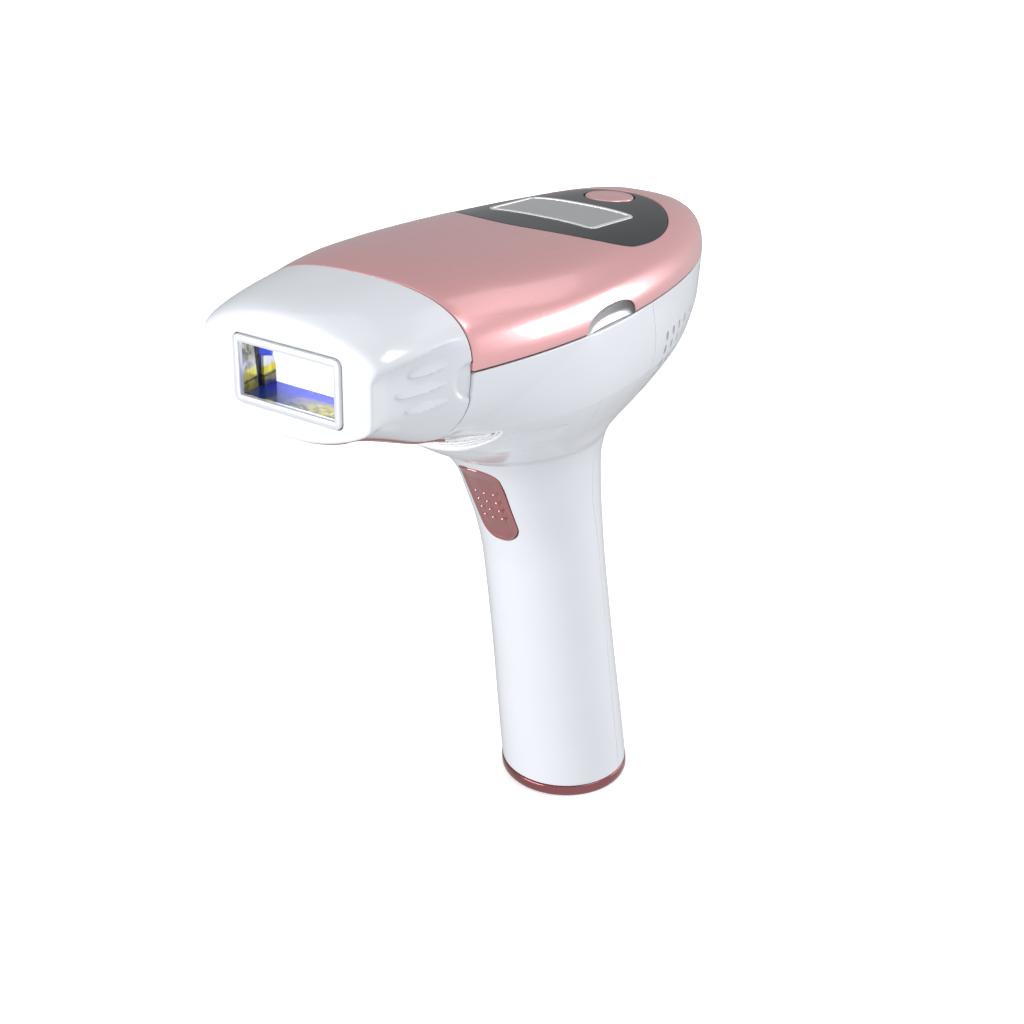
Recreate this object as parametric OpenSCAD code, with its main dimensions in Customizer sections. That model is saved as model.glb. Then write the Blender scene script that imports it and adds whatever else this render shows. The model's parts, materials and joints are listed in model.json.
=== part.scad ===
// Hand-held intense-pulsed-light hair remover: a pistol-shaped housing, a pull-off lamp
// cartridge at its nose, a trigger, a power button and a cooling fan.
// Millimetres, +Z up, nose towards -Y, origin at the centre of the flat base of the handle.

/* [Barrel] */
// Angle that the barrel points up at, in degrees
barrel_tilt = 5.3; // [4.9:0.1:5.7]
// Height of the parting line above the base, over the origin
parting_z = 172.1; // [171:0.1:173]
// Half of the greatest width of the barrel
barrel_half_width = 41.2; // [40.8:0.1:41.6]
// Height of the crown above the parting line
crown_height = 19.2; // [19:0.1:19.6]
// Distance of the tail's tip behind the origin
tail_y = 61.2; // [60.8:0.1:62]
// Thickness of the moulded walls
wall = 2.2; // [1.8:0.1:2.4]

/* [Lamp cartridge] */
// Distance of the window's face in front of the origin
face_y = -109.1; // [-110:0.1:-108.6]
// Distance of the joint between the nose and the body
seam_y = -82; // [-82.5:0.1:-81.5]
// Half of the width of the flat front face
face_half_width = 26.1; // [25.7:0.1:26.5]
// Outer width of the window frame
window_w = 34; // [32:0.5:35]
// Outer height of the window frame
window_h = 17.4; // [16:0.1:18]
// Width of the window frame's border
window_lip = 2; // [1.6:0.1:2.4]

/* [Handle] */
// Half width of the base from side to side
base_rx = 20.9; // [20.6:0.1:21.1]
// Half depth of the base from front to back
base_ry = 19.5; // [19.2:0.1:19.8]
// Height of the metallic ring round the base
ring_h = 3.5; // [3:0.1:4.5]

/* [Controls] */
// Width of the trigger
trigger_w = 13; // [12:0.5:14]
// Length of the trigger along the handle
trigger_l = 30; // [27:0.5:30.5]
// Travel of the trigger
trigger_travel = 1.5; // [1:0.1:1.8]
// Radius of the power button
button_r = 7.2; // [6.5:0.1:7.6]
// Travel of the power button
button_travel = 0.6; // [0.4:0.1:0.8]

/* [Display] */
// Width of the display window
lcd_w = 34.4; // [30:0.1:35]
// Length of the display window
lcd_l = 21.2; // [18:0.1:22]

/* [Cooling] */
// Outer size of the square fan frame
fan_w = 34; // [32:1:36]
// Number of fan blades
fan_blades = 7; // [5:1:9]

/* [Hidden] */

gap = 0.3;
crown_power = 2.7;
belly_power = 2.4;
mid_y = -36;
crest_y = -62;
crown_fall = 0.04;
nose_reach = mid_y - face_y;
tail_reach = tail_y - mid_y;
tail_edge = 1.79;
tail_round = 0.414;
face_z = -1.9;
face_half_height = 14.9;
face_side = 7.83;
nose_growth = barrel_half_width - face_half_width;
crown_growth = crown_height - face_half_height - face_z;
blend_size = 14;
aim = [0, -16, 0];
neck_z = -66;
foot_z = -182;

// Cross-sections of the grip and tail, square to the barrel's own upright axis:
// height, centre, half width, reach to the front, reach to the rear
grip_stations = [
    [0, mid_y, barrel_half_width, 40, tail_reach],
    [-12, -35, 40, 41, 96.3],
    [-22, -33, 37.2, 38, 91],
    [-30, -30, 33.4, 33, 78],
    [-36, -25, 29.6, 31, 60],
    [-38.5, -22, 28, 30.5, 48],
    [-41, -18.5, 26.4, 30, 37],
    [-46, -10.8, 22.4, 28.8, 27.4],
    [-54, -7.1, 20, 25.4, 22.6],
    [-64, -4.3, 19.2, 23, 20.5],
    [-75, -1.6, 18.8, 20.3, 19.1],
    [-88, 1, 18.6, 18.6, 18.6],
    [-113, 5.7, 19, 18.7, 18.7],
    [-162, 14.6, 20.6, 19.4, 19.4],
    [-184, 18.6, 21, 19.5, 19.5]
];
function station(z, column) = lookup(z, [for (s = grip_stations) [s[0], s[column]]]);
// Depth of the head below the parting line, from the face to the grip
head_depths = [[face_y, 17], [-95, 21.3], [seam_y, 24.1], [-60, 26.5], [mid_y, 28]];
function head_depth(y) = lookup(y, head_depths);

// Plan outline and crown of the barrel
function nose_part(y) = min(1, max(0, (mid_y - y) / nose_reach));
function tail_part(y) = min(1, max(0, (y - mid_y) / tail_reach));
function half_width(y) = y < mid_y
    ? barrel_half_width - nose_growth * pow(nose_part(y), 1.85)
    : barrel_half_width * pow(1 - pow(tail_part(y), tail_edge), tail_round);
function crown(y) = y < crest_y
    ? crown_height - crown_growth * pow(max(0, crest_y - y) / (crest_y - face_y), 2.24)
    : (crown_height - crown_fall * (y - crest_y))
        * pow(1 - pow(min(1, (y - crest_y) / (tail_y - crest_y)), 22), 0.65);
function crown_z(x, y) =
    crown(y) * pow(1 - pow(min(1, abs(x) / half_width(y)), crown_power), 1 / crown_power);

// Signed nearness of a point to the grip and to the head: below 0 is inside
function grip_side(p) =
    let (
        half = station(p.z, 2),
        dy = p.y - station(p.z, 1),
        reach = dy > 0 ? station(p.z, 4) : station(p.z, 3),
        top = min(1, max(0, 1 + p.z / 60)),
        px = dy > 0 ? 2 + (1 / tail_round - 2) * top : 2,
        py = dy > 0 ? 2 + (tail_edge - 2) * top : 2
    )
    (pow(pow(abs(p.x) / half, px) + pow(abs(dy) / reach, py), 2 / (px + py)) - 1) * half;
function head_side(p) =
    let (
        wide = abs(p.x) / half_width(min(p.y, mid_y)),
        deep = abs(min(0, p.z)) / head_depth(p.y),
        far = max(0, p.y - mid_y) / 60
    )
    (pow(pow(wide, belly_power) + pow(deep, belly_power) + pow(far, belly_power),
        1 / belly_power) - 1) * head_depth(p.y);
function blend_min(a, b, k) =
    let (h = min(1, max(0, 0.5 + 0.5 * (b - a) / k)))
    b * (1 - h) + a * h - k * h * (1 - h);
function body_side(p) =
    blend_min(head_side(p), grip_side(p), 0.01 + blend_size * min(1, max(0, -p.z / 20)));
// Point where a ray from o along d leaves the body, drawn in by an inset
function skin(o, d, inset, lo = 0, hi = 130, steps = 15) =
    steps == 0 ? o + d * (lo + hi) / 2
    : let (mid = (lo + hi) / 2)
      body_side(o + d * mid) + inset < 0
        ? skin(o, d, inset, mid, hi, steps - 1)
        : skin(o, d, inset, lo, mid, steps - 1);

// Rings of the lower body: level rings up the grip, then rings fanned out to the parting line
ring_points = 40;
fan_rings = 13;
function turn(j) = 360 * (j + 0.5) / ring_points - 180;
function grip_ring(z, inset) = [
    for (j = [0:ring_points - 1])
        skin([0, station(z, 1), z], [-sin(turn(j)), cos(turn(j)), 0], inset, hi = 60)
];
function fan_point(p, j, s, inset) =
    let (
        flat = norm([p.x, p.y - aim.y]),
        rise = atan2(p.z, flat) * (1 - s),
        own = atan2(-p.x, p.y - aim.y),
        way = own * (1 - s) + turn(j) * s
    )
    skin(aim, [-sin(way) * cos(rise), cos(way) * cos(rise), sin(rise)], inset);
function fan_ring(neck, s, inset) =
    [for (j = [0:ring_points - 1]) fan_point(neck[j], j, s, inset)];
function lifted(ring, dz) = [for (p = ring) [p.x, p.y, dz]];
function body_rings(inset, rise) =
    let (
        levels = [foot_z, -162, -138, -113, -100, -88, -76, neck_z],
        grip = [for (z = levels) grip_ring(z, inset)],
        neck = grip[len(grip) - 1],
        fan = [for (i = [1:fan_rings]) fan_ring(neck, i / fan_rings, inset)],
        rim = fan[fan_rings - 1]
    )
    concat(grip, fan, rise > 0 ? [lifted(rim, rise)] : []);

// Solid through a list of closed rings, each with the same number of points
function middle(ring) = [for (p = ring) 1] * ring / len(ring);
module loft(rings) {
    n = len(rings[0]);
    last = len(rings) - 1;
    points = concat([for (ring = rings) each ring], [middle(rings[0]), middle(rings[last])]);
    sides = [
        for (i = [0:last - 1], j = [0:n - 1])
            let (a = i * n + j, b = i * n + (j + 1) % n)
            each [[a, a + n, b + n], [a, b + n, b]]
    ];
    ends = [
        for (j = [0:n - 1])
            let (k = (j + 1) % n)
            each [[n * (last + 1), j, k], [n * (last + 1) + 1, last * n + k, last * n + j]]
    ];
    polyhedron(points, concat(sides, ends), convexity = 8);
}

// Frames of reference
module in_barrel() {
    translate([0, 0, parting_z]) rotate([-barrel_tilt, 0, 0]) children();
}
trigger_at = [0, -36.6, 112.3];
trigger_lean = 20;
module at_trigger() {
    translate(trigger_at) rotate([90 + trigger_lean, 0, 0]) children();
}
button_y = 30.9;
button_lean = 2.3;
module at_button() {
    translate([0, button_y, crown_z(0, button_y)]) rotate([-button_lean, 0, 0]) children();
}
// Rounded rectangle, centred
function corner_points(w, l, r, steps) = [
    for (q = [0:3], i = [0:steps])
        let (
            a = 90 * q + 90 * i / steps,
            cx = (q == 0 || q == 3 ? 1 : -1) * (w / 2 - r),
            cy = (q < 2 ? 1 : -1) * (l / 2 - r)
        )
        [cx + r * cos(a), cy + r * sin(a)]
];
module rounded_rect(w, l, r, steps = 4) {
    polygon(corner_points(w, l, r, steps));
}
module ellipse(rx, ry, steps = 60) {
    polygon([for (i = [0:steps - 1]) [rx * cos(360 * i / steps), ry * sin(360 * i / steps)]]);
}
// Box from two corners
module block(low, high) {
    translate(low) cube(high - low);
}
// Small moulded lug whose tip is thinner than its root
module lug(at, size, tip) {
    hull() {
        translate(at) cube(size, center = true);
        translate(at + tip) cube([size.x, size.y, size.z] / 2, center = true);
    }
}

// Closed ring of the head at one station, drawn in by an inset
section_points = 40;
function signed_power(v, e) = sign(v) * pow(abs(v), e);
function face_radius(a, inset) =
    let (
        side = face_half_width - inset,
        high = face_half_height - inset,
        bow = (face_half_height - face_side) * pow(cos(a) / side, 2),
        up = abs(sin(a)),
        arch = bow < 0.0001 ? high / up : (sqrt(up * up + 4 * bow * high) - up) / (2 * bow)
    )
    min(side / max(0.001, abs(cos(a))), arch);
function round_radius(a, y, inset) =
    let (
        wide = half_width(y) - inset,
        high = (sin(a) > 0 ? crown(y) : head_depth(y)) - inset,
        n = sin(a) > 0 ? crown_power : belly_power
    )
    pow(pow(abs(cos(a)) / wide, n) + pow(abs(sin(a)) / high, n), -1 / n);
function head_ring(y, inset) = [
    for (i = [0:section_points - 1])
        let (a = 360 * (i + 0.5) / section_points, r = round_radius(a, y, inset))
        [-r * cos(a), y, r * sin(a)]
];
// Ring of the nose: a full shoulder above, hollowed sides below
function nose_ring(y, inset) =
    let (t = min(1, max(0, (y - face_y) / (seam_y - face_y))), low = pow(t, 0.7), high = pow(t, 0.4))
    [
        for (i = [0:section_points - 1])
            let (
                a = 360 * (i + 0.5) / section_points,
                above = min(1, max(0, (sin(a) - 0.15) / 0.14)),
                flat = face_radius(a, inset),
                side = flat * (1 - low) + round_radius(a, y, inset) * low,
                shoulder = flat + (round_radius(a, max(y, seam_y), inset) - flat) * high,
                r = side * (1 - above) + shoulder * above,
                rounding = low * (1 - above) + high * above
            )
            [-r * cos(a), y, r * sin(a) + face_z * (1 - rounding)]
    ];
nose_steps = 7;
function nose_rings(inset, from, to) =
    [for (i = [0:nose_steps]) nose_ring(from + (to - from) * i / nose_steps, inset)];
// Plate across the whole head
module head_plate(y, thickness, inset) {
    loft([head_ring(y, inset), head_ring(y + thickness, inset)]);
}

// Solid under the crown between two stations, drawn in by an inset
arc_steps = 20;
crown_steps = 18;
function crown_ring(y, inset, drop) =
    let (w = max(0.3, half_width(y) - inset), h = max(0.3, crown(y) - inset))
    concat(
        [
            for (i = [0:arc_steps])
                let (c = cos(180 * i / arc_steps))
                [-w * c, y, h * pow(1 - pow(abs(c), crown_power), 1 / crown_power)]
        ],
        drop < 0 ? [[w, y, drop], [-w, y, drop]] : []
    );
module crown_solid(inset, drop, from, to) {
    loft([
        for (i = [0:crown_steps])
            let (y = from + (to - from) * sin(90 * i / crown_steps))
            crown_ring(y, inset, drop)
    ]);
}
// Curved sheet that follows the crown, a given depth below it
module crown_sheet(half_x, y0, y1, depth, thickness, nx = 12, ny = 10) {
    points = [
        for (d = [depth, depth + thickness], j = [0:ny], i = [0:nx])
            let (x = half_x * (2 * i / nx - 1), y = y0 + (y1 - y0) * j / ny)
            [x, y, crown_z(x, y) - d]
    ];
    row = nx + 1;
    under = row * (ny + 1);
    function quad(a, b, c, d) = [[a, b, c], [a, c, d]];
    faces = [
        for (j = [0:ny - 1], i = [0:nx - 1])
            let (a = j * row + i)
            each concat(
                quad(a, a + row, a + row + 1, a + 1),
                quad(a + under, a + 1 + under, a + row + 1 + under, a + row + under)
            ),
        for (i = [0:nx - 1])
            let (b = ny * row + i)
            each concat(
                quad(i, i + 1, i + 1 + under, i + under),
                quad(b + 1, b, b + under, b + 1 + under)
            ),
        for (j = [0:ny - 1])
            let (a = j * row, b = j * row + nx)
            each concat(
                quad(a + row, a, a + under, a + row + under),
                quad(b, b + row, b + row + under, b + under)
            )
    ];
    polyhedron(points, faces, convexity = 4);
}

// Outline of the dark control panel
panel_y = -1.7;
function panel_outline(inset, steps = 48) = [
    for (i = [0:steps - 1])
        let (
            t = 360 * (i + 0.5) / steps,
            n = sin(t) > 0 ? 2.07 : 1.9,
            reach = (sin(t) > 0 ? 42.2 : 18.3) - inset
        )
        [(30.3 - inset) * signed_power(cos(t), 2 / n), panel_y + reach * signed_power(sin(t), 2 / n)]
];
lcd_y = 5.5;
module lcd_outline(grow) {
    translate([0, lcd_y]) rounded_rect(lcd_w + 2 * grow, lcd_l + 2 * grow, 1.5);
}

// Outline of the finger recess on the side of the cover, seen from the side
accent_y = -30;
accent_w = 24;
accent_h = 5.6;
module accent_outline(inset) {
    translate([accent_y, 0]) intersection() {
        translate([-accent_w, 0]) square([2 * accent_w, accent_h + 1]);
        rounded_rect(accent_w - 2 * inset, 2 * (accent_h - inset), 4.5);
    }
}
module accent_prism(inset, side) {
    mirror([side < 0 ? 1 : 0, 0, 0])
        translate([30, 0, 0]) rotate([90, 0, 90]) linear_extrude(14) accent_outline(inset);
}

// Lower housing
seam_line = [
    [-7, 5], [-6.5, -20], [-6.5, -52], [-1.9, -66], [4.5, -88],
    [9.4, -117], [13.2, -144], [16.7, -165], [20, -188]
];
module behind_seam() {
    rotate([90, 0, 90]) linear_extrude(140, center = true)
        polygon(concat(seam_line, [[140, -188], [140, 5]]));
}
module housing() {
    difference() {
        loft(body_rings(0, 0));
        loft(body_rings(wall, 4));
        block([-70, -220, -90], [70, seam_y + gap / 2, 30]);
    }
}
module below_ring() {
    block([-60, -60, -60], [60, 60, ring_h]);
}
vent_rows = 5;
vent_columns = 19;
vent_pitch = 8.6;
module tail_vents() {
    for (row = [0:vent_rows - 1], column = [0:vent_columns - 1])
        translate([0, -4, -13 - 4 * row]) rotate(vent_pitch * (column - (vent_columns - 1) / 2))
            block([-1, 6, -1.3], [1, 90, 1.3]);
}
// Lens-shaped air intake under the head, seen from below
module intake_outline(inset) {
    translate([0, -64]) ellipse(30.5 - inset, 7 - inset, 36);
}
module front_shell() {
    color("white") difference() {
        in_barrel() union() {
            difference() {
                housing();
                behind_seam();
                translate([0, 0, -60]) linear_extrude(50) intake_outline(0);
            }
            for (side = [-1, 1], y = [-70, -56, -42, -16])
                lug([side * (half_width(y) - wall - 0.6), y, -4], [1.4, 5, 5], [0, 0, -4]);
        }
        below_ring();
        at_trigger() linear_extrude(20, center = true)
            rounded_rect(trigger_w + 2 * gap, trigger_l + 2 * gap, 6);
    }
}
module rear_shell() {
    color("whitesmoke") difference() {
        in_barrel() union() {
            difference() {
                intersection() {
                    housing();
                    behind_seam();
                }
                tail_vents();
            }
            for (side = [-1, 1], y = [8, 20, 32, 44])
                lug([side * (half_width(y) - wall - 0.8), y, -4], [1.4, 4, 5], [-side * 0.3, 0, -4]);
        }
        below_ring();
    }
}
module top_cover() {
    color("rosybrown") in_barrel() union() {
        difference() {
            crown_solid(0, 0, seam_y + gap / 2, tail_y - 0.5);
            crown_solid(wall, -1, seam_y - 1, tail_y - wall - 1);
            linear_extrude(40) polygon(panel_outline(0));
            for (side = [-1, 1]) accent_prism(0, side);
        }
        for (side = [-1, 1], y = [-75, -62, -49, 2])
            lug([side * (half_width(y) - wall - 0.4), y, 3], [1.2, 5, 5], [0, 0, 2]);
    }
}
module side_accent(side) {
    color("lightgray") in_barrel() intersection() {
        difference() {
            crown_solid(0.8, 0, -45, 0);
            crown_solid(2.6, -1, -46, 1);
        }
        accent_prism(0.1, side);
    }
}
module side_accent_left() { side_accent(-1); }
module side_accent_right() { side_accent(1); }

// Control panel and display
module display_panel() {
    color("darkslategray") in_barrel() difference() {
        intersection() {
            crown_sheet(30.8, -21, 41.5, 0.6, 2, 20, 14);
            linear_extrude(40) polygon(panel_outline(0.15));
        }
        linear_extrude(40) lcd_outline(0.9);
        at_button() cylinder(h = 20, r = button_r + 0.25, center = true);
    }
}
module lcd_frame() {
    color("silver") in_barrel() intersection() {
        crown_sheet(19.5, -8, 19, 0.5, 1.6, 8, 6);
        linear_extrude(40) difference() {
            lcd_outline(0.85);
            lcd_outline(0);
        }
    }
}
module lcd_lens() {
    color("lightgray") in_barrel() intersection() {
        crown_sheet(19.5, -8, 19, 0.7, 1.2, 8, 6);
        linear_extrude(40) lcd_outline(-0.05);
    }
}
module lcd_module() {
    color("gray") in_barrel()
        block([-16.5, -4.5, 10.6], [16.5, 15.5, 12.9]);
}
board_top = 9.6;
board_spots = [[-14.5, -9.5], [14.5, -9.5], [-14.5, 29], [14.5, 29]];
module display_board() {
    color("darkgreen") in_barrel() difference() {
        block([-17, -12, board_top - 1.4], [17, 37, board_top]);
        for (s = board_spots) translate([s.x, s.y, board_top]) cylinder(h = 6, r = 1.1, center = true);
    }
}
module board_screws() {
    color("silver") in_barrel()
        for (s = board_spots) translate([s.x, s.y, board_top - 3.2]) {
            cylinder(h = 1.8, r = 1.9);
            cylinder(h = 4.4, r = 1);
        }
}
button_root = 3.9;
switch_h = 1.2;
plunger_h = crown_z(0, button_y) - button_root - board_top - button_travel - 0.05;
module power_switch() {
    color("dimgray") in_barrel() translate([0, button_y, board_top]) {
        translate([-3, -3, 0]) cube([6, 6, min(switch_h, plunger_h - 0.1)]);
        cylinder(h = plunger_h, r = 1.6);
    }
}
module power_button() {
    color("rosybrown") in_barrel() at_button() rotate_extrude() polygon([
        [0, -button_root], [button_r + 1, -button_root], [button_r + 1, 0.7 - button_root],
        [button_r, 0.7 - button_root], [button_r, -0.3], [button_r - 0.5, 0.1],
        [button_r - 2, 0.3], [0, 0.4]
    ]);
}

// Air intake under the head
module intake_grille() {
    color("white") in_barrel() intersection() {
        difference() {
            loft(body_rings(0.7, 0));
            loft(body_rings(2.3, 1));
        }
        translate([0, 0, -60]) linear_extrude(50) {
            difference() {
                intake_outline(0.2);
                intake_outline(1.5);
            }
            intersection() {
                intake_outline(1);
                translate([0, -64]) union() {
                    square([60, 1.1], center = true);
                    difference() {
                        ellipse(30, 4, 36);
                        ellipse(29, 2.9, 36);
                    }
                }
            }
        }
    }
}
module head_underplate() {
    color("rosybrown") in_barrel() difference() {
        intersection() {
            loft(body_rings(-0.5, 0));
            block([-26, seam_y + gap / 2, -40], [26, -72.5, -15]);
        }
        loft(body_rings(-0.03, 0));
    }
}

// Foot of the handle
module base_ring() {
    color("indianred") linear_extrude(ring_h) difference() {
        ellipse(base_rx, base_ry);
        ellipse(base_rx - 2, base_ry - 2);
    }
}
jack_y = 9;
module base_cap() {
    color("gainsboro") difference() {
        linear_extrude(2.2) ellipse(base_rx - 2.05, base_ry - 2.05);
        translate([0, jack_y, 0]) cylinder(h = 10, r = 3.6, center = true);
    }
}
module dc_jack() {
    color("black") translate([0, jack_y, 2.3]) {
        difference() {
            translate([-5, -5, 0]) cube([10, 10, 10.5]);
            cylinder(h = 18, r = 3.1, center = true);
        }
        translate([0, 0, 1.2]) cylinder(h = 9, r = 1);
        translate([-4, -4, 9.1]) cube([8, 8, 1.4]);
    }
}

// Electronics
module in_handle() {
    translate([0, 0.4, 0]) rotate([5.2, 0, 0]) children();
}
module handle_board() {
    color("darkgreen") in_handle() block([-11, 8.2, 16], [11, 9.8, 84]);
}
module flash_capacitor() {
    color("navy") in_handle() translate([0, -3.2, 26]) {
        cylinder(h = 48, r = 10);
        for (x = [-2.5, 2.5]) translate([x, 0, -3]) cylinder(h = 4, r = 0.5);
    }
}
module pulse_transformer() {
    color("goldenrod") in_barrel() {
        block([-9, -20, -36], [9, -17, -20]);
        block([-9, -9, -36], [9, -6, -20]);
        translate([0, -17.5, -28]) rotate([-90, 0, 0]) cylinder(h = 9, r = 6.5);
    }
}
module heat_sink() {
    color("silver") in_barrel() {
        block([-20, -33, -12], [20, -30, 9]);
        for (i = [-4:4]) block([4.6 * i - 0.6, -47, -12], [4.6 * i + 0.6, -32.5, 9]);
    }
}
module power_transistor() {
    color("black") in_barrel() {
        block([-8, -29.9, -10], [8, -25, 8]);
        for (x = [-5.4, 0, 5.4]) block([x - 0.6, -27.8, -19], [x + 0.6, -27.2, -9.5]);
    }
}

// Cooling fan
fan_at = [0, 4, -10];
fan_depth = 8;
module at_fan() {
    in_barrel() translate(fan_at) rotate([-90, 0, 0]) children();
}
module fan_frame() {
    color("dimgray") at_fan() {
        difference() {
            translate([-fan_w / 2, -fan_w / 2, 0]) cube([fan_w, fan_w, fan_depth]);
            cylinder(h = 40, r = fan_w / 2 - 1, center = true);
        }
        for (a = [45:90:315])
            rotate(a) translate([5, -1, fan_depth - 1.2]) cube([fan_w / 2 - 5, 2, 1.2]);
        translate([0, 0, fan_depth - 1.2]) cylinder(h = 1.2, r = 6);
    }
}
module fan_motor() {
    color("peru") at_fan() {
        translate([0, 0, 4.2]) cylinder(h = fan_depth - 5.4, r = 5);
        translate([0, 0, 0.8]) cylinder(h = 4, r = 1);
    }
}
module fan_rotor() {
    color("black") at_fan() {
        difference() {
            translate([0, 0, 1.2]) cylinder(h = 5, r = 7);
            translate([0, 0, 2.6]) cylinder(h = 5, r = 5.8);
            cylinder(h = 10, r = 1.05, center = true);
        }
        for (i = [0:fan_blades - 1])
            rotate(360 * i / fan_blades) translate([6.6, 0, 3.7]) rotate([35, 0, 0])
                translate([0, -3, -0.4]) cube([fan_w / 2 - 8.4, 6, 0.8]);
    }
}

// Socket that the lamp cartridge plugs into
plug_w = 42;
plug_h = 22;
plug_z = -2;
plug_end = -57;
socket_end = -54;
module plug_block(grow, y0, y1) {
    w = plug_w / 2 + grow;
    h = plug_h / 2 + grow;
    block([-w, y0, plug_z - h], [w, y1, plug_z + h]);
}
screw_spots = [[-27, -5], [27, -5]];
module lamp_socket() {
    color("lightslategray") in_barrel() difference() {
        union() {
            head_plate(seam_y + 0.5, 2, wall + 1.9);
            plug_block(1.8, seam_y + 2, socket_end + 1.6);
        }
        plug_block(0.4, -90, socket_end);
        for (s = screw_spots)
            translate([s.x, seam_y + 2, s.y]) rotate([90, 0, 0]) cylinder(h = 9, r = 1.3, center = true);
    }
}
module socket_screws() {
    color("silver") in_barrel() for (s = screw_spots)
        translate([s.x, seam_y + 0.5, s.y]) rotate([90, 0, 0]) {
            cylinder(h = 0.3, r = 1.9);
            translate([0, 0, -7]) cylinder(h = 7.2, r = 1.2);
        }
}
pin_spots = [[-14, -5], [-14, 3], [14, -5], [14, 3]];
module socket_contacts() {
    color("gold") in_barrel() for (s = pin_spots)
        block([s.x - 2, socket_end - 0.4, s.y - 2], [s.x + 2, socket_end, s.y + 2]);
}

// Trigger
module trigger_button() {
    color("indianred") at_trigger() {
        translate([0, 0, -8]) linear_extrude(8) rounded_rect(trigger_w, trigger_l, 6);
        translate([0, 0, -9.6]) linear_extrude(1.7) rounded_rect(trigger_w + 2.4, trigger_l + 2, 5);
        translate([0, 0, -11]) cylinder(h = 2, r = 2);
        for (row = [-1.5:1.5], column = [-1:1])
            translate([3 * column, 3.3 * row - 1.4, -0.1]) sphere(r = 0.75);
    }
}
plunger_top = -11.2 - trigger_travel;
switch_base = plunger_top - 4.3;
module trigger_switch() {
    color("dimgray") at_trigger() translate([0, 0, switch_base]) {
        translate([-3, -3, 0]) cube([6, 6, 3.5]);
        cylinder(h = 4.3, r = 1.7);
    }
}
module trigger_bracket() {
    color("lightgray") at_trigger() translate([0, 0, switch_base - 1.7]) linear_extrude(1.6)
        rounded_rect(26, 16, 2);
}

// Lamp cartridge
module nose_outer(inset) {
    loft(nose_rings(inset, face_y, seam_y - gap / 2));
}
module nose_inner(inset) {
    loft(nose_rings(inset, face_y + wall + 0.4, seam_y + 1));
}
module nose_housing() {
    color("white") in_barrel() difference() {
        nose_outer(0);
        nose_inner(wall);
        translate([0, face_y, face_z]) rotate([90, 0, 0])
            linear_extrude(12, center = true) rounded_rect(window_w + 0.1, window_h + 0.1, 1.9);
    }
}
module nose_underplate() {
    color("rosybrown") in_barrel() difference() {
        intersection() {
            nose_outer(-0.5);
            block([-22, face_y + 1, -40], [22, seam_y - gap / 2, -13]);
        }
        nose_outer(-0.03);
    }
}
module at_window() {
    in_barrel() translate([0, face_y, face_z]) rotate([90, 0, 0]) children();
}
window_in_w = window_w - 2 * window_lip;
window_in_h = window_h - 2 * window_lip;
module window_bezel() {
    color("gainsboro") at_window() translate([0, 0, -2.4]) linear_extrude(3.2) difference() {
        rounded_rect(window_w, window_h, 1.8);
        rounded_rect(window_in_w, window_in_h, 0.6);
    }
}
module filter_glass() {
    color("royalblue") at_window() translate([0, 0, -2.2]) linear_extrude(1.6)
        rounded_rect(window_in_w - 0.1, window_in_h - 0.1, 0.6);
}
module light_guide() {
    color("lightblue") at_window() block([-14.8, -6.5, -7.4], [14.8, 6.5, -2.4]);
}
tube_z = -13;
module reflector() {
    color("silver") at_window() difference() {
        block([-15, -8.4, -21.5], [15, 8.4, -7.6]);
        translate([0, 0, tube_z]) rotate([0, 90, 0]) cylinder(h = 60, r = 6.8, center = true);
        block([-40, -6.8, tube_z], [40, 6.8, 0]);
    }
}
module flash_tube() {
    color("azure") at_window() translate([0, 0, tube_z]) rotate([0, 90, 0])
        cylinder(h = 32, r = 2.6, center = true);
}
module tube_end_caps() {
    color("silver") at_window() for (side = [-1, 1])
        translate([side * 17.6, 0, tube_z]) rotate([0, 90, 0])
            cylinder(h = 3.2, r = 3.2, center = true);
}
module cartridge_frame() {
    color("darkgray") in_barrel() difference() {
        union() {
            intersection() {
                head_plate(seam_y - gap / 2 - 2.2, 2, wall);
                nose_inner(wall + 0.3);
            }
            plug_block(0, -92.5, plug_end);
        }
        plug_block(-1.5, -110, plug_end - 1.8);
    }
}
module cartridge_pins() {
    color("gold") in_barrel() for (s = pin_spots)
        translate([s.x, plug_end, s.y]) rotate([-90, 0, 0])
            cylinder(h = socket_end - 0.4 - gap - plug_end, r = 1.2);
}

front_shell();
rear_shell();
top_cover();
display_panel();
lcd_lens();
lcd_frame();
lcd_module();
display_board();
power_switch();
power_button();
side_accent_left();
side_accent_right();
intake_grille();
head_underplate();
base_ring();
base_cap();
dc_jack();
handle_board();
flash_capacitor();
pulse_transformer();
power_transistor();
heat_sink();
fan_frame();
fan_motor();
fan_rotor();
lamp_socket();
socket_contacts();
socket_screws();
board_screws();
trigger_button();
trigger_switch();
trigger_bracket();
nose_housing();
nose_underplate();
window_bezel();
filter_glass();
light_guide();
reflector();
flash_tube();
tube_end_caps();
cartridge_frame();
cartridge_pins();
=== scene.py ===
"""Looks for the hand-held light hair remover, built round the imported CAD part."""
import json
import math

import bmesh
import bpy
import numpy as np
from mathutils import Matrix, Vector


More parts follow.
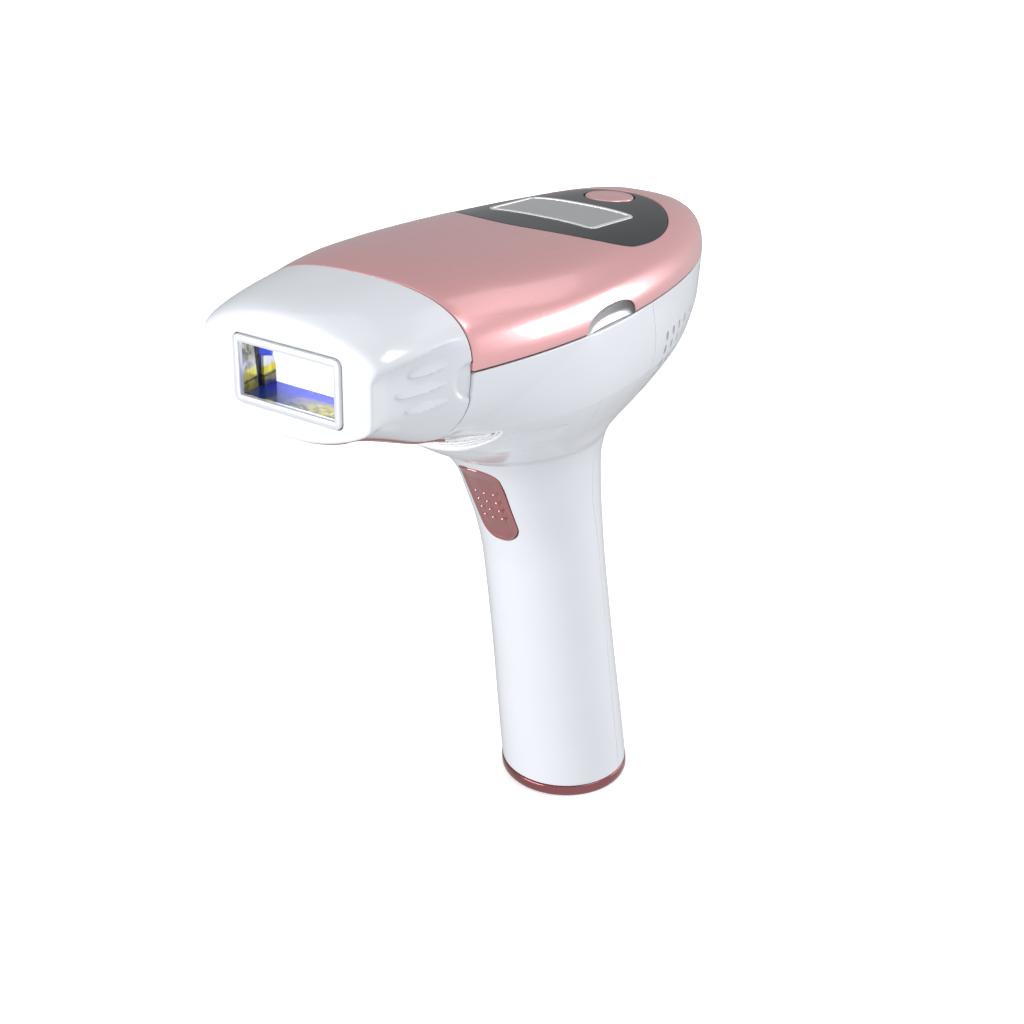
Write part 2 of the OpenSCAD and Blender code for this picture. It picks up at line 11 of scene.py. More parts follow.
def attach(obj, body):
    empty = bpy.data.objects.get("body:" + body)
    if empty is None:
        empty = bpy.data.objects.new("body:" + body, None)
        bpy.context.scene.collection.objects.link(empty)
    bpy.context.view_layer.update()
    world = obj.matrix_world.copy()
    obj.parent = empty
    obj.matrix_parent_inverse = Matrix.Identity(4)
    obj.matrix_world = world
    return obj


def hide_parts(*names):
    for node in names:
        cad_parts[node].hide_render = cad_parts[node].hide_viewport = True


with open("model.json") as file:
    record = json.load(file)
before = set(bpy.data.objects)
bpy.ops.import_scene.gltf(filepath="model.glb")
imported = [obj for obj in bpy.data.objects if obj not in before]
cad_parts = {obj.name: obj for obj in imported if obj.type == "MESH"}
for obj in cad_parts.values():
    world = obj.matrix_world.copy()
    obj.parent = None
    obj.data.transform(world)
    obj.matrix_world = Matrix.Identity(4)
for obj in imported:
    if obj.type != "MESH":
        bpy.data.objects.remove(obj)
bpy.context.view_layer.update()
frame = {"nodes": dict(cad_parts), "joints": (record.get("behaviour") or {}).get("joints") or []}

MM = 0.001
JOINT = {j["name"]: j for j in frame["joints"]}

# ---------------------------------------------------------------- frames of reference
slide = JOINT["cartridge_slide"]
TILT = math.atan2(slide["axis"][2], -slide["axis"][1])
SIN, COS = math.sin(TILT), math.cos(TILT)
SEAM_Y = slide["pos_m"][1] / MM / COS
PARTING_Z = slide["pos_m"][2] / MM + SIN * SEAM_Y


def to_world(p):
    """Barrel frame in mm to the row frame in metres."""
    p = np.asarray(p, float)
    x, y, z = p[..., 0], p[..., 1], p[..., 2]
    return np.stack([x, COS * y + SIN * z, PARTING_Z - SIN * y + COS * z], -1) * MM


def to_barrel(p):
    """Row frame in metres to the barrel frame in mm."""
    p = np.asarray(p, float) / MM
    x, y, z = p[..., 0], p[..., 1], p[..., 2] - PARTING_Z
    return np.stack([x, COS * y - SIN * z, SIN * y + COS * z], -1)


# ---------------------------------------------------------------- driving dimensions, mm
HALF_WIDTH, CROWN_HEIGHT, TAIL_Y = 41.2, 19.2, 61.2
FACE_Y, FACE_HALF_WIDTH, FACE_HALF_HEIGHT, FACE_SIDE, FACE_Z = -109.1, 26.1, 14.9, 7.83, -1.9
MID_Y, CREST_Y = -36.0, -62.0
CROWN_POWER, BELLY_POWER = 2.7, 2.4
TAIL_EDGE, TAIL_ROUND = 1.79, 0.414
WINDOW_W, WINDOW_H, WINDOW_LIP = 34.0, 17.4, 2.0
RING_H, BASE_RX, BASE_RY = 3.5, 20.9, 19.5
AIM = np.array([0.0, -16.0, 0.0])
NECK_Z, FOOT_Z = -66.0, -168.0
GAP, WALL, NOSE_WALL = 0.15, 2.0, 1.6
INTAKE_Y, INTAKE_RX, INTAKE_RY = -64.0, 30.5, 7.0
GRIP = np.array([
    [0, MID_Y, HALF_WIDTH, 40, TAIL_Y - MID_Y],
    [-12, -35, 40, 41, 96.3],
    [-22, -33, 37.2, 38, 91],
    [-30, -30, 33.4, 33, 78],
    [-36, -25, 29.6, 31, 60],
    [-38.5, -22, 28, 30.5, 48],
    [-41, -18.5, 26.4, 30, 37],
    [-46, -10.8, 22.4, 28.8, 27.4],
    [-54, -7.1, 20, 25.4, 22.6],
    [-64, -4.3, 19.2, 23, 20.5],
    [-75, -1.6, 18.8, 20.3, 19.1],
    [-88, 1, 18.6, 18.6, 18.6],
    [-113, 5.7, 19, 18.7, 18.7],
    [-162, 14.6, 20.6, 19.4, 19.4],
    [-184, 18.6, 21, 19.5, 19.5],
])
HEAD_DEPTH = np.array([[FACE_Y, 17], [-95, 21.3], [-82, 24.1], [-60, 26.5], [MID_Y, 28]])
SEAM_LINE = np.array([
    [-188, 20], [-165, 16.7], [-144, 13.2], [-117, 9.4], [-88, 4.5],
    [-66, -1.9], [-52, -6.5], [-20, -6.5], [5, -7],
])


def eased(xs, ys):
    """Smooth curve through points that never overshoots them."""
    order = np.argsort(xs)
    xs, ys = np.asarray(xs, float)[order], np.asarray(ys, float)[order]
    h = np.diff(xs)
    d = np.diff(ys) / h
    m = np.zeros(len(xs))
    m[0], m[-1] = d[0], d[-1]
    for i in range(1, len(xs) - 1):
        if d[i - 1] * d[i] > 0:
            w1, w2 = 2 * h[i] + h[i - 1], h[i] + 2 * h[i - 1]
            m[i] = (w1 + w2) / (w1 / d[i - 1] + w2 / d[i])

    def at(x):
        x = np.clip(np.asarray(x, float), xs[0], xs[-1])
        i = np.clip(np.searchsorted(xs, x) - 1, 0, len(h) - 1)
        t = (x - xs[i]) / h[i]
        return (
            ys[i] * (1 + 2 * t) * (1 - t) ** 2 + m[i] * h[i] * t * (1 - t) ** 2
            + ys[i + 1] * t * t * (3 - 2 * t) + m[i + 1] * h[i] * t * t * (t - 1)
        )
    return at


grip_at = [eased(GRIP[:, 0], GRIP[:, k]) for k in range(1, 5)]
head_depth = eased(HEAD_DEPTH[:, 0], HEAD_DEPTH[:, 1])
seam_at = eased(SEAM_LINE[:, 0], SEAM_LINE[:, 1])


def half_width(y):
    """Half the width of the barrel at a section."""
    y = np.asarray(y, float)
    s = np.clip((MID_Y - y) / (MID_Y - FACE_Y), 0, 1.1)
    t = np.clip((y - MID_Y) / (TAIL_Y - MID_Y), 0, 1)
    tail = HALF_WIDTH * np.maximum(1 - t ** TAIL_EDGE, 1e-12) ** TAIL_ROUND
    return np.where(y < MID_Y, HALF_WIDTH - (HALF_WIDTH - FACE_HALF_WIDTH) * s ** 1.85, tail)


def crown(y):
    """Height of the cover's middle line over the parting plane."""
    y = np.asarray(y, float)
    s = np.clip((CREST_Y - y) / (CREST_Y - FACE_Y), 0, 1.1)
    t = np.clip((y - CREST_Y) / (TAIL_Y - CREST_Y), 0, 1)
    growth = CROWN_HEIGHT - FACE_HALF_HEIGHT - FACE_Z
    rear = (CROWN_HEIGHT - 0.04 * (y - CREST_Y)) * np.maximum(1 - t ** 22, 1e-12) ** 0.65
    return np.where(y < CREST_Y, CROWN_HEIGHT - growth * s ** 2.24, rear)


def crown_z(x, y):
    """Height of the cover over the parting plane."""
    inside = 1 - np.minimum(1, np.abs(x) / half_width(y)) ** CROWN_POWER
    return crown(y) * np.maximum(inside, 0) ** (1 / CROWN_POWER)


def crown_side(p):
    """Below 0 inside the top cover's outer surface."""
    y = np.minimum(p[..., 1], TAIL_Y - 1e-4)
    wide = np.abs(p[..., 0]) / half_width(y)
    high = np.maximum(p[..., 2], 0) / crown(y)
    side = (wide ** CROWN_POWER + high ** CROWN_POWER) ** (1 / CROWN_POWER) - 1
    return np.where(p[..., 1] < TAIL_Y, side, 1.0)


def body_side(p):
    """Below 0 inside the lower housing's outer surface."""
    x, y, z = p[..., 0], p[..., 1], p[..., 2]
    centre, half, front, rear = [f(z) for f in grip_at]
    dy = y - centre
    top = np.clip(1 + z / 60, 0, 1)
    px = np.where(dy > 0, 2 + (1 / TAIL_ROUND - 2) * top, 2)
    py = np.where(dy > 0, 2 + (TAIL_EDGE - 2) * top, 2)
    reach = np.where(dy > 0, rear, front)
    grip = (((np.abs(x) / half) ** px + (np.abs(dy) / reach) ** py) ** (2 / (px + py)) - 1) * half
    wide = np.abs(x) / half_width(np.minimum(y, MID_Y))
    deep = np.abs(np.minimum(0, z)) / head_depth(y)
    far = np.maximum(0, y - MID_Y) / 60
    head = ((wide ** BELLY_POWER + deep ** BELLY_POWER + far ** BELLY_POWER)
            ** (1 / BELLY_POWER) - 1) * head_depth(y)
    k = 0.01 + 14 * np.clip(-z / 20, 0, 1)
    h = np.clip(0.5 + 0.5 * (grip - head) / k, 0, 1)
    return grip * (1 - h) + head * h - k * h * (1 - h)


def cast(side, origin, way, far=130.0):
    """Points where rays from origin leave a surface."""
    way = way / np.linalg.norm(way, axis=-1, keepdims=True)
    lo, hi = np.zeros(way.shape[:-1]), np.full(way.shape[:-1], far)
    for _ in range(34):
        mid = (lo + hi) / 2
        inside = side(origin + way * mid[..., None]) < 0
        lo, hi = np.where(inside, mid, lo), np.where(inside, hi, mid)
    return origin + way * ((lo + hi) / 2)[..., None]


def normals_of(side, p, step=0.02):
    """Outward unit normals of a surface at points on it."""
    g = np.stack([side(p + step * e) - side(p - step * e) for e in np.eye(3)], -1)
    return g / np.maximum(np.linalg.norm(g, axis=-1, keepdims=True), 1e-9)


# ---------------------------------------------------------------- mesh helpers
def new_object(name, verts, faces, smooth_angle=35):
    """Object from world points and faces, with its doubles merged and its normals outward."""
    mesh = bpy.data.meshes.new(name)
    mesh.from_pydata([tuple(v) for v in np.asarray(verts)], [], faces)
    mesh.validate()
    obj = bpy.data.objects.new(name, mesh)
    bpy.context.scene.collection.objects.link(obj)
    tidy(obj, smooth_angle)
    return obj


def tidy(obj, smooth_angle):
    """Merges doubled points and turns all faces outward."""
    bm = bmesh.new()
    bm.from_mesh(obj.data)
    bmesh.ops.remove_doubles(bm, verts=bm.verts, dist=2e-7)
    bmesh.ops.recalc_face_normals(bm, faces=bm.faces)
    bm.to_mesh(obj.data)
    bm.free()
    finish_shading(obj, smooth_angle)


def grid_faces(rows, columns, wrap=False, start=0):
    """Quads between the points of a grid."""
    last = columns if wrap else columns - 1
    return [
        (start + i * columns + j, start + i * columns + (j + 1) % columns,
         start + (i + 1) * columns + (j + 1) % columns, start + (i + 1) * columns + j)
        for i in range(rows - 1) for j in range(last)
    ]


def run(grid):
    """Distance along each column from a grid's first row."""
    steps = np.linalg.norm(np.diff(grid, axis=0), axis=-1)
    return np.concatenate([0 * grid[:1, :, 0], np.cumsum(steps, 0)])


def add_rim_rows(outer, inner, radius):
    """Extra rows close to the first row, where the rim is rounded."""
    count = min(14, len(outer) // 2)
    length = run(outer[:count])
    keep = int(np.argmax(length.min(1) > 1.25 * radius))
    extra = [[], []]
    for d in radius * np.array([0, 0.06, 0.22, 0.45, 0.72, 1.0]):
        at = np.array([np.interp(d, length[:, j], np.arange(count)) for j in range(outer.shape[1])])
        i = np.minimum(at.astype(int), count - 2)
        f = (at - i)[:, None]
        j = np.arange(outer.shape[1])
        for k, grid in enumerate((outer, inner)):
            extra[k].append(grid[i, j] * (1 - f) + grid[i + 1, j] * f)
    return np.concatenate([extra[0], outer[keep:]]), np.concatenate([extra[1], inner[keep:]])


def turned(grid, axis):
    """The grid with the given axis as its rows."""
    return grid if axis == 0 else np.swapaxes(grid, 0, 1)


def round_rims(outer, inner, radius, wrap):
    """Adds rows at a grid's free rims and sinks them so that the rims are rounded."""
    near = []
    axes = (0,) if wrap else (0, 1)
    for axis in axes:
        a, b = add_rim_rows(turned(outer, axis), turned(inner, axis), radius)
        a, b = add_rim_rows(a[::-1], b[::-1], radius)
        outer, inner = turned(a[::-1], axis), turned(b[::-1], axis)
    for axis in axes:
        g = turned(outer, axis)
        d = np.minimum(run(g), run(g[::-1])[::-1])
        near.append(np.maximum(0, radius - turned(d, axis)))
    reach = np.minimum(radius, np.sqrt(sum(n * n for n in near)))
    sink = radius - np.sqrt(radius * radius - reach * reach)
    out = outer - inner
    out /= np.maximum(np.linalg.norm(out, axis=-1, keepdims=True), 1e-9)
    return outer - out * sink[..., None], inner


def shell_from_grid(name, outer, inner, wrap=False, bevel=0.3, angle=35):
    """Closed wall between two point grids, with its rims rounded."""
    if bevel:
        outer, inner = round_rims(outer, inner, bevel, wrap)
    rows, columns = outer.shape[:2]
    n = rows * columns
    faces = grid_faces(rows, columns, wrap) + grid_faces(rows, columns, wrap, n)
    last = columns if wrap else columns - 1
    for i in (0, rows - 1):
        for j in range(last):
            a, b = i * columns + j, i * columns + (j + 1) % columns
            faces.append((a, b, b + n, a + n))
    if not wrap:
        for j in (0, columns - 1):
            for i in range(rows - 1):
                a, b = i * columns + j, (i + 1) * columns + j
                faces.append((a, b, b + n, a + n))
    verts = np.concatenate([outer.reshape(-1, 3), inner.reshape(-1, 3)])
    return new_object(name, to_world(verts), faces, angle)


def settle(obj):
    """Turns an object's modifiers into its mesh."""
    graph = bpy.context.evaluated_depsgraph_get()
    mesh = bpy.data.meshes.new_from_object(obj.evaluated_get(graph))
    obj.modifiers.clear()
    obj.data = mesh


def finish_shading(obj, angle):
    """Smooth shading with sharp edges over an angle in degrees."""
    for poly in obj.data.polygons:
        poly.use_smooth = True
    obj.data.set_sharp_from_angle(angle=math.radians(angle))


def cut(obj, *cutters, angle=35, solver="MANIFOLD"):
    """Takes cutters out of obj."""
    for cutter in cutters:
        mod = obj.modifiers.new("cut", "BOOLEAN")
        mod.operation, mod.solver, mod.object = "DIFFERENCE", solver, cutter
        settle(obj)
        bpy.data.objects.remove(cutter)
    finish_shading(obj, angle)


def prism(name, outline, low, high, place):
    """Closed prism: outline is a list of (u, v), place turns (u, v, w) into world points."""
    n = len(outline)
    pts = [(u, v, w) for w in (low, high) for u, v in outline]
    faces = [tuple(range(n))[::-1], tuple(range(n, 2 * n))]
    faces += [(i, (i + 1) % n, n + (i + 1) % n, n + i) for i in range(n)]
    return new_object(name, place(np.array(pts)), faces)


def tube_faces(m, n):
    """Quads of a closed tube with m sections of n points."""
    return [(i * n + j, ((i + 1) % m) * n + j, ((i + 1) % m) * n + (j + 1) % n, i * n + (j + 1) % n)
            for i in range(m) for j in range(n)]


def lathe_path(name, path, profile, place, angle=35):
    """Sweeps a profile along a flat closed path. path: rows of (u, v, out_u, out_v);
    profile: (outward, up) pairs that close on themselves."""
    path, profile = np.asarray(path, float), np.asarray(profile, float)
    rows = path[:, None, :2] + path[:, None, 2:] * profile[None, :, :1]
    up = np.broadcast_to(profile[None, :, 1:], rows.shape[:2] + (1,))
    pts = np.concatenate([rows, up], -1)
    return new_object(name, place(pts.reshape(-1, 3)), tube_faces(*pts.shape[:2]), angle)


def rounded_rect(w, l, r, steps=8):
    """Points of a rounded rectangle with their outward directions."""
    out = []
    for q in range(4):
        for i in range(steps + 1):
            a = math.pi / 2 * (q + i / steps)
            cx = (1 if q in (0, 3) else -1) * (w / 2 - r)
            cy = (1 if q < 2 else -1) * (l / 2 - r)
            out.append((cx + r * math.cos(a), cy + r * math.sin(a), math.cos(a), math.sin(a)))
    return out


def ellipse(rx, ry, steps=96):
    """Points of an ellipse with their outward directions."""
    out = []
    for i in range(steps):
        a = 2 * math.pi * i / steps
        nx, ny = math.cos(a) / rx, math.sin(a) / ry
        size = math.hypot(nx, ny)
        out.append((rx * math.cos(a), ry * math.sin(a), nx / size, ny / size))
    return out


def step_up(x, a, b):
    """Smooth step from 0 at a to 1 at b."""
    t = np.clip((x - a) / (b - a), 0, 1)
    return t * t * (3 - 2 * t)


# ---------------------------------------------------------------- lower housing
COLUMNS, ARC_SHARE = 241, 0.37


def seam_angle(z):
    """Angle from the rear at which the side seam crosses a level ring."""
    z = np.asarray(z, float)
    origin = np.stack([0 * z, grip_at[0](z), z], -1)
    lo, hi = np.full(z.shape, 0.05), np.full(z.shape, 3.1)
    for _ in range(24):
        mid = (lo + hi) / 2
        p = cast(body_side, origin, np.stack([np.sin(mid), np.cos(mid), 0 * mid], -1), 60)
        behind = p[..., 1] > seam_at(z)
        lo, hi = np.where(behind, mid, lo), np.where(behind, hi, mid)
    return (lo + hi) / 2


def grip_rows(u, front, rows=70):
    """Rings of the handle for one half, from the base ring to the neck."""
    v = np.linspace(0, 1, rows)[:, None]
    z = v * NECK_Z + (1 - v) * FOOT_Z + 0 * u
    for _ in range(5):
        theta_s = seam_angle(z[:, 0])[:, None]
        theta = math.pi + u * (math.pi - theta_s) if front else u * theta_s
        way = np.stack([np.sin(theta), np.cos(theta), 0 * theta], -1)
        origin = np.stack([0 * z, grip_at[0](z), z], -1)
        p = cast(body_side, origin, way, 60)
        foot = (RING_H + GAP - PARTING_Z + SIN * p[0, :, 1]) / COS
        z = v * NECK_Z + (1 - v) * foot[None, :]
    return p


def fan_rows(neck, top, rows):
    """Rows of the head's side, from the neck's ring to the half's upper edge."""
    s = (np.linspace(0, 1, rows + 1)[1:] ** 0.9)[:, None, None]
    start = (neck - AIM) / np.linalg.norm(neck - AIM, axis=-1, keepdims=True)
    end = (top - AIM) / np.linalg.norm(top - AIM, axis=-1, keepdims=True)
    return cast(body_side, AIM, start[None] * (1 - s) + end[None] * s)


def front_top(u):
    """Upper edge of the front half: parting line, round under the nose seam, parting line."""
    y0, z0 = seam_at(0.0) - GAP / 2, -GAP
    edge_y = SEAM_Y + GAP
    out = []
    for k in u:
        side = math.copysign(1, k)
        if abs(k) > ARC_SHARE:
            t = (abs(k) - ARC_SHARE) / (1 - ARC_SHARE)
            out.append(cast(body_side, np.array([0, edge_y + (y0 - edge_y) * t, z0]),
                            np.array([-side, 0.0, 0.0])))
        else:
            a = math.pi / 2 * abs(k) / ARC_SHARE
            out.append(cast(body_side, np.array([0, edge_y, z0]),
                            np.array([-side * math.sin(a), 0.0, -math.cos(a) - 1e-9])))
    return np.array(out)


def rear_top(u):
    """Upper edge of the rear half: the parting line round the tail."""
    y0 = float(seam_at(0.0)) + GAP / 2
    a = u * math.pi / 2
    way = np.stack([np.sin(a), np.cos(a), 0 * a], -1)
    return cast(body_side, np.array([0.0, y0, -GAP]), way)


def scoop(p):
    """Depth of the leaf-shaped hollow on each side of the intake."""
    along = (p[..., 1] + 76) / 37
    line = -21.5 - 3.5 * np.clip(along, 0, 1)
    low = -33 + 9 * np.clip(along, 0, 1.2)
    inside = step_up(-p[..., 2], -line, -line + 1.5) * step_up(p[..., 2], low - 7, low + 1)
    reach = step_up(p[..., 1], -80, -70) * (1 - step_up(p[..., 1], -44, -41.5))
    return 1.1 * inside * reach * step_up(np.abs(p[..., 0]), 14, 22)


def housing_half(name, front):
    """Front or rear half of the white housing, as one wall."""
    u = np.linspace(-1, 1, COLUMNS)
    low = grip_rows(u, front)
    top = front_top(u) if front else rear_top(u)
    outer = np.concatenate([low, fan_rows(low[-1], top, 110)])
    normal = normals_of(body_side, outer)
    if front:
        outer = outer - normal * scoop(outer)[..., None]
    inner = outer - normal * WALL
    return shell_from_grid(name, outer, inner, bevel=0.28)


VENT_ROWS, VENT_REACH, VENT_STEP, VENT_TOP, VENT_PITCH, VENT_CENTRE = 5, 9, 8.6, -13, 4, -4


def vent_cutters():
    """All the air outlets in the tail as one cutter."""
    verts, faces = [], []
    outline = rounded_rect(2.0, 2.6, 0.7, 3)
    n = len(outline)
    for row in range(VENT_ROWS):
        for column in range(-VENT_REACH, VENT_REACH + 1):
            a = math.radians(VENT_STEP * column)
            start = len(verts)
            for r in (6.0, 90.0):
                for c, d, _, _ in outline:
                    x = c * math.cos(a) - r * math.sin(a)
                    y = c * math.sin(a) + r * math.cos(a) + VENT_CENTRE
                    verts.append((x, y, VENT_TOP - VENT_PITCH * row + d))
            faces.append(tuple(range(start, start + n))[::-1])
            faces.append(tuple(range(start + n, start + 2 * n)))
            faces += [(start + i, start + (i + 1) % n, start + n + (i + 1) % n, start + n + i)
                      for i in range(n)]
    return new_object("vent_cutter", to_world(np.array(verts)), faces)


trigger_joint = JOINT["trigger_press"]
TRIGGER_IN = np.array(trigger_joint["axis"])
TRIGGER_AT = np.array(trigger_joint["pos_m"])
TRIGGER_UP = np.cross(TRIGGER_IN, [1.0, 0, 0]) * -1
TRIGGER_W, TRIGGER_L, TRIGGER_DROP, TRIGGER_DEEP = 13.0, 31.4, 0.7, 9.0


def at_trigger(p):
    """Local u to +X, v up along the handle, w outward, in mm, to world metres."""
    p = np.asarray(p, float) * MM
    return TRIGGER_AT + p[..., :1] * [1.0, 0, 0] + p[..., 1:2] * TRIGGER_UP - p[..., 2:] * TRIGGER_IN


front_shell = housing_half("front_shell_skin", True)
rear_shell = housing_half("rear_shell_skin", False)
cut(rear_shell, vent_cutters())
trigger_outline = rounded_rect(TRIGGER_W + 0.6, TRIGGER_L + 0.6, 5.8, 12)
trigger_hole = prism("trigger_cutter", [(q[0], q[1] - TRIGGER_DROP) for q in trigger_outline],
                     -10, 10, at_trigger)
intake_hole = prism("intake_cutter", [(q[0], q[1] + INTAKE_Y) for q in ellipse(INTAKE_RX, INTAKE_RY)],
                    -60, -10, to_world)
cut(front_shell, trigger_hole, intake_hole)

# ---------------------------------------------------------------- top cover
PANEL_Y, PANEL_W, PANEL_FRONT, PANEL_REAR = -1.7, 30.3, 18.3, 42.2


def panel_edge(t, inset=0.0):
    """Egg-shaped edge of the control panel, longer to the rear."""
    c, s = np.cos(t), np.sin(t)
    n = np.where(s > 0, 2.07, 1.9)
    reach = np.where(s > 0, PANEL_REAR, PANEL_FRONT) - inset
    x = (PANEL_W - inset) * np.sign(c) * np.abs(c) ** (2 / n)
    y = PANEL_Y + reach * np.sign(s) * np.abs(s) ** (2 / n)
    return np.stack([x, y], -1)


def on_crown(xy):
    """Points of the cover's surface over flat points."""
    return np.concatenate([xy, crown_z(xy[..., 0], xy[..., 1])[..., None]], -1)


TAIL_CENTRE_Y = -8.0
CROWN_AIM = np.array([0.0, TAIL_CENTRE_Y, -14.0])
COVER_EDGE = 0.3


def cover_outline(count):
    """Lower edge of the cover: nose seam over the top, then the parting line round the tail."""
    edge_y = SEAM_Y + GAP
    front_share, side_share = 0.125, 0.29
    out = []
    for k in ((np.arange(count) + 0.5) / count + 0.25) % 1.0:
        s = (k - front_share) / (1 - 2 * front_share)
        if k < front_share or k > 1 - front_share:
            a = (k if k < 0.5 else k - 1) / front_share * (math.pi / 2)
            origin, way = [0, edge_y, 0.0], [math.sin(a), 0.0, max(math.cos(a), 1e-6)]
        elif s < side_share or s > 1 - side_share:
            f = (s if s < 0.5 else 1 - s) / side_share
            origin = [0, edge_y + (TAIL_CENTRE_Y - edge_y) * f, COVER_EDGE]
            way = [1.0 if s < 0.5 else -1.0, 0, 0]
        else:
            a = math.pi / 2 - math.pi * (s - side_share) / (1 - 2 * side_share)
            origin, way = [0, TAIL_CENTRE_Y, COVER_EDGE], [math.sin(a), math.cos(a), 0]
        out.append(cast(crown_side, np.array(origin), np.array(way)))
    return np.array(out)


def cover_grid(columns=480, rows=100):
    """Outer skin of the cover, from the panel's opening down to its lower edge."""
    outline = cover_outline(columns)
    t = 2 * np.pi * (np.arange(columns) + 0.5) / columns
    hole = on_crown(panel_edge(t))
    start = hole - CROWN_AIM
    end = outline - CROWN_AIM
    start /= np.linalg.norm(start, axis=-1, keepdims=True)
    end /= np.linalg.norm(end, axis=-1, keepdims=True)
    s = np.linspace(0, 1, rows)[:, None, None]
    p = cast(crown_side, CROWN_AIM, start[None] * (1 - s) + end[None] * s)
    p[0], p[-1] = hole, outline
    return p


cover = cover_grid()
cover_normal = normals_of(crown_side, cover)
top_cover = shell_from_grid("top_cover_skin", cover, cover - cover_normal * WALL, wrap=True, bevel=0.4)
ACCENT_Y, ACCENT_W, ACCENT_H = -30.0, 24.0, 5.5


def seam_shade_strip():
    """Dark strip of painted shade that backs the joint between the cover and the lower housing."""
    way = np.linspace(-1, 1, 401)
    tail_share, start_y = 0.45, SEAM_Y + 0.8
    side_y = start_y + (TAIL_CENTRE_Y - start_y) * (1 - np.abs(way)) / (1 - tail_share)
    y = np.where(np.abs(way) > tail_share, side_y, TAIL_CENTRE_Y)
    a = np.clip(way / tail_share, -1, 1) * math.pi / 2
    origin = np.stack([0 * y, y, 0 * y + 0.1], -1)
    edge = cast(crown_side, origin, np.stack([np.sin(a), np.cos(a), 0 * a], -1))
    flat = normals_of(crown_side, edge)
    flat[..., 2] = 0
    flat /= np.linalg.norm(flat, axis=-1, keepdims=True)
    back = 0.32 + 2.2 * (np.abs(edge[:, 1:2] - ACCENT_Y) < ACCENT_W / 2 + 1)
    rows = np.stack([edge - flat * back + [0, 0, dz] for dz in (-0.12, 0.6)])
    return shell_from_grid("seam_painted_shade_strip", rows, rows - flat * 0.5, bevel=0)


def nose_seam_shade_strip():
    """Dark strip of painted shade in the joint between the nose and the cover."""
    a, y = np.meshgrid(np.linspace(-1.5, 1.5, 121), [SEAM_Y - 0.12, SEAM_Y + 0.5], indexing="ij")
    p = cast(crown_side, np.stack([0 * a, y, 0 * a], -1), np.stack([np.sin(a), 0 * a, np.cos(a)], -1))
    n = normals_of(crown_side, p)
    return shell_from_grid("nose_seam_painted_shade", p - n * 0.3, p - n * 0.9, bevel=0)


seam_shade_piece = seam_shade_strip()
nose_shade_piece = nose_seam_shade_strip()


def accent_edge(grow=0.0, steps=18):
    """Half-moon in (y, z), from its rear lower corner over the top to the front one."""
    a = np.linspace(0, math.pi, steps)
    w, h = ACCENT_W / 2 + grow, ACCENT_H + grow
    c, s = np.cos(a), np.sin(a)
    return np.stack([ACCENT_Y + w * np.sign(c) * np.abs(c) ** 0.8, h * np.abs(s) ** 0.8], -1)


def accent_cutter(side):
    """Half-moon prism that opens one side of the cover for its accent."""
    rim = [tuple(point) for point in accent_edge()]
    rim = [(rim[0][0], -2.0)] + rim + [(rim[-1][0], -2.0)]
    return prism("accent_cutter", rim, 30, 50,
                 lambda q: to_world(np.stack([side * q[:, 2], q[:, 0], q[:, 1]], -1)))


for side in (-1, 1):
    cut(top_cover, accent_cutter(side), solver="EXACT")


def accent_dish(name, side):
    """Concave thumb rest that shows through the half-moon opening."""
    rim = accent_edge(0.05, 49)
    rows = 16
    s = np.linspace(0, 1, rows)[:, None]
    y = np.broadcast_to(rim[None, :, 0], (rows, len(rim)))
    z = rim[None, :, 1] * (1 - s) - 0.1 * s
    edge = 1 - ((y - ACCENT_Y) / (ACCENT_W / 2 + 0.1)) ** 2
    bowl = np.sin(np.pi * np.clip((z + 1.4) / (ACCENT_H + 1.4), 0, 1)) ** 0.8
    depth = 0.25 + 1.9 * np.clip(edge, 0, 1) * bowl
    wall = cast(crown_side, np.stack([0 * y, y, z], -1), np.broadcast_to([1.0, 0, 0], y.shape + (3,)))
    outer = np.stack([side * (wall[..., 0] - depth), y, z], -1)
    inner = outer - np.array([side * 0.9, 0, 0])
    return shell_from_grid(name, outer, inner, bevel=0, angle=60)


accent_left = accent_dish("side_accent_left_dish", -1)
accent_right = accent_dish("side_accent_right_dish", 1)

# ---------------------------------------------------------------- control panel
LCD_Y, LCD_W, LCD_L = 5.5, 34.4, 21.2
PANEL_SINK, PANEL_ROUND, LCD_SINK = 0.12, 0.35, 0.14


def panel_grid(name, inset, thick, columns=200, rows=46):
    """Plate that follows the cover inside the panel's opening, with a rounded rim."""
    t = 2 * np.pi * (np.arange(columns) + 0.5) / columns
    edge = panel_edge(t, inset)
    mean_reach = 30
    rim = PANEL_ROUND * np.array([0.7, 0.4, 0.18, 0.05, 0])
    s = np.concatenate([np.linspace(0, 0.985, rows - len(rim)) ** 0.8, 1 - rim / mean_reach])
    middle = np.array([0.0, PANEL_Y + 8])
    xy = middle + (edge - middle)[None] * np.maximum(s[:, None, None], 1e-4)
    sink = np.zeros((rows, 1))
    sink[-len(rim):, 0] = PANEL_ROUND - np.sqrt(PANEL_ROUND ** 2 - (PANEL_ROUND - rim) ** 2)
    outer = on_crown(xy)
    outer[..., 2] -= PANEL_SINK + sink
    n = rows * columns
    inner = outer - [0, 0, thick]
    verts = np.concatenate([outer.reshape(-1, 3), inner.reshape(-1, 3)])
    faces = grid_faces(rows, columns, True) + grid_faces(rows, columns, True, n)
    for j in range(columns):
        a, b = (rows - 1) * columns + j, (rows - 1) * columns + (j + 1) % columns
        faces.append((a, b, b + n, a + n))
    faces.append(tuple(range(columns)))
    faces.append(tuple(range(n, n + columns)))
    return new_object(name, to_world(verts), faces)


display_panel = panel_grid("display_panel_skin", 0.22, 1.8)
button_joint = JOINT["power_press"]
BUTTON = to_barrel(np.array(button_joint["pos_m"]))
BUTTON_R = 7.2
BUTTON_DOWN = np.array(button_joint["axis"])
BUTTON_REAR = np.cross(BUTTON_DOWN, [1.0, 0, 0])


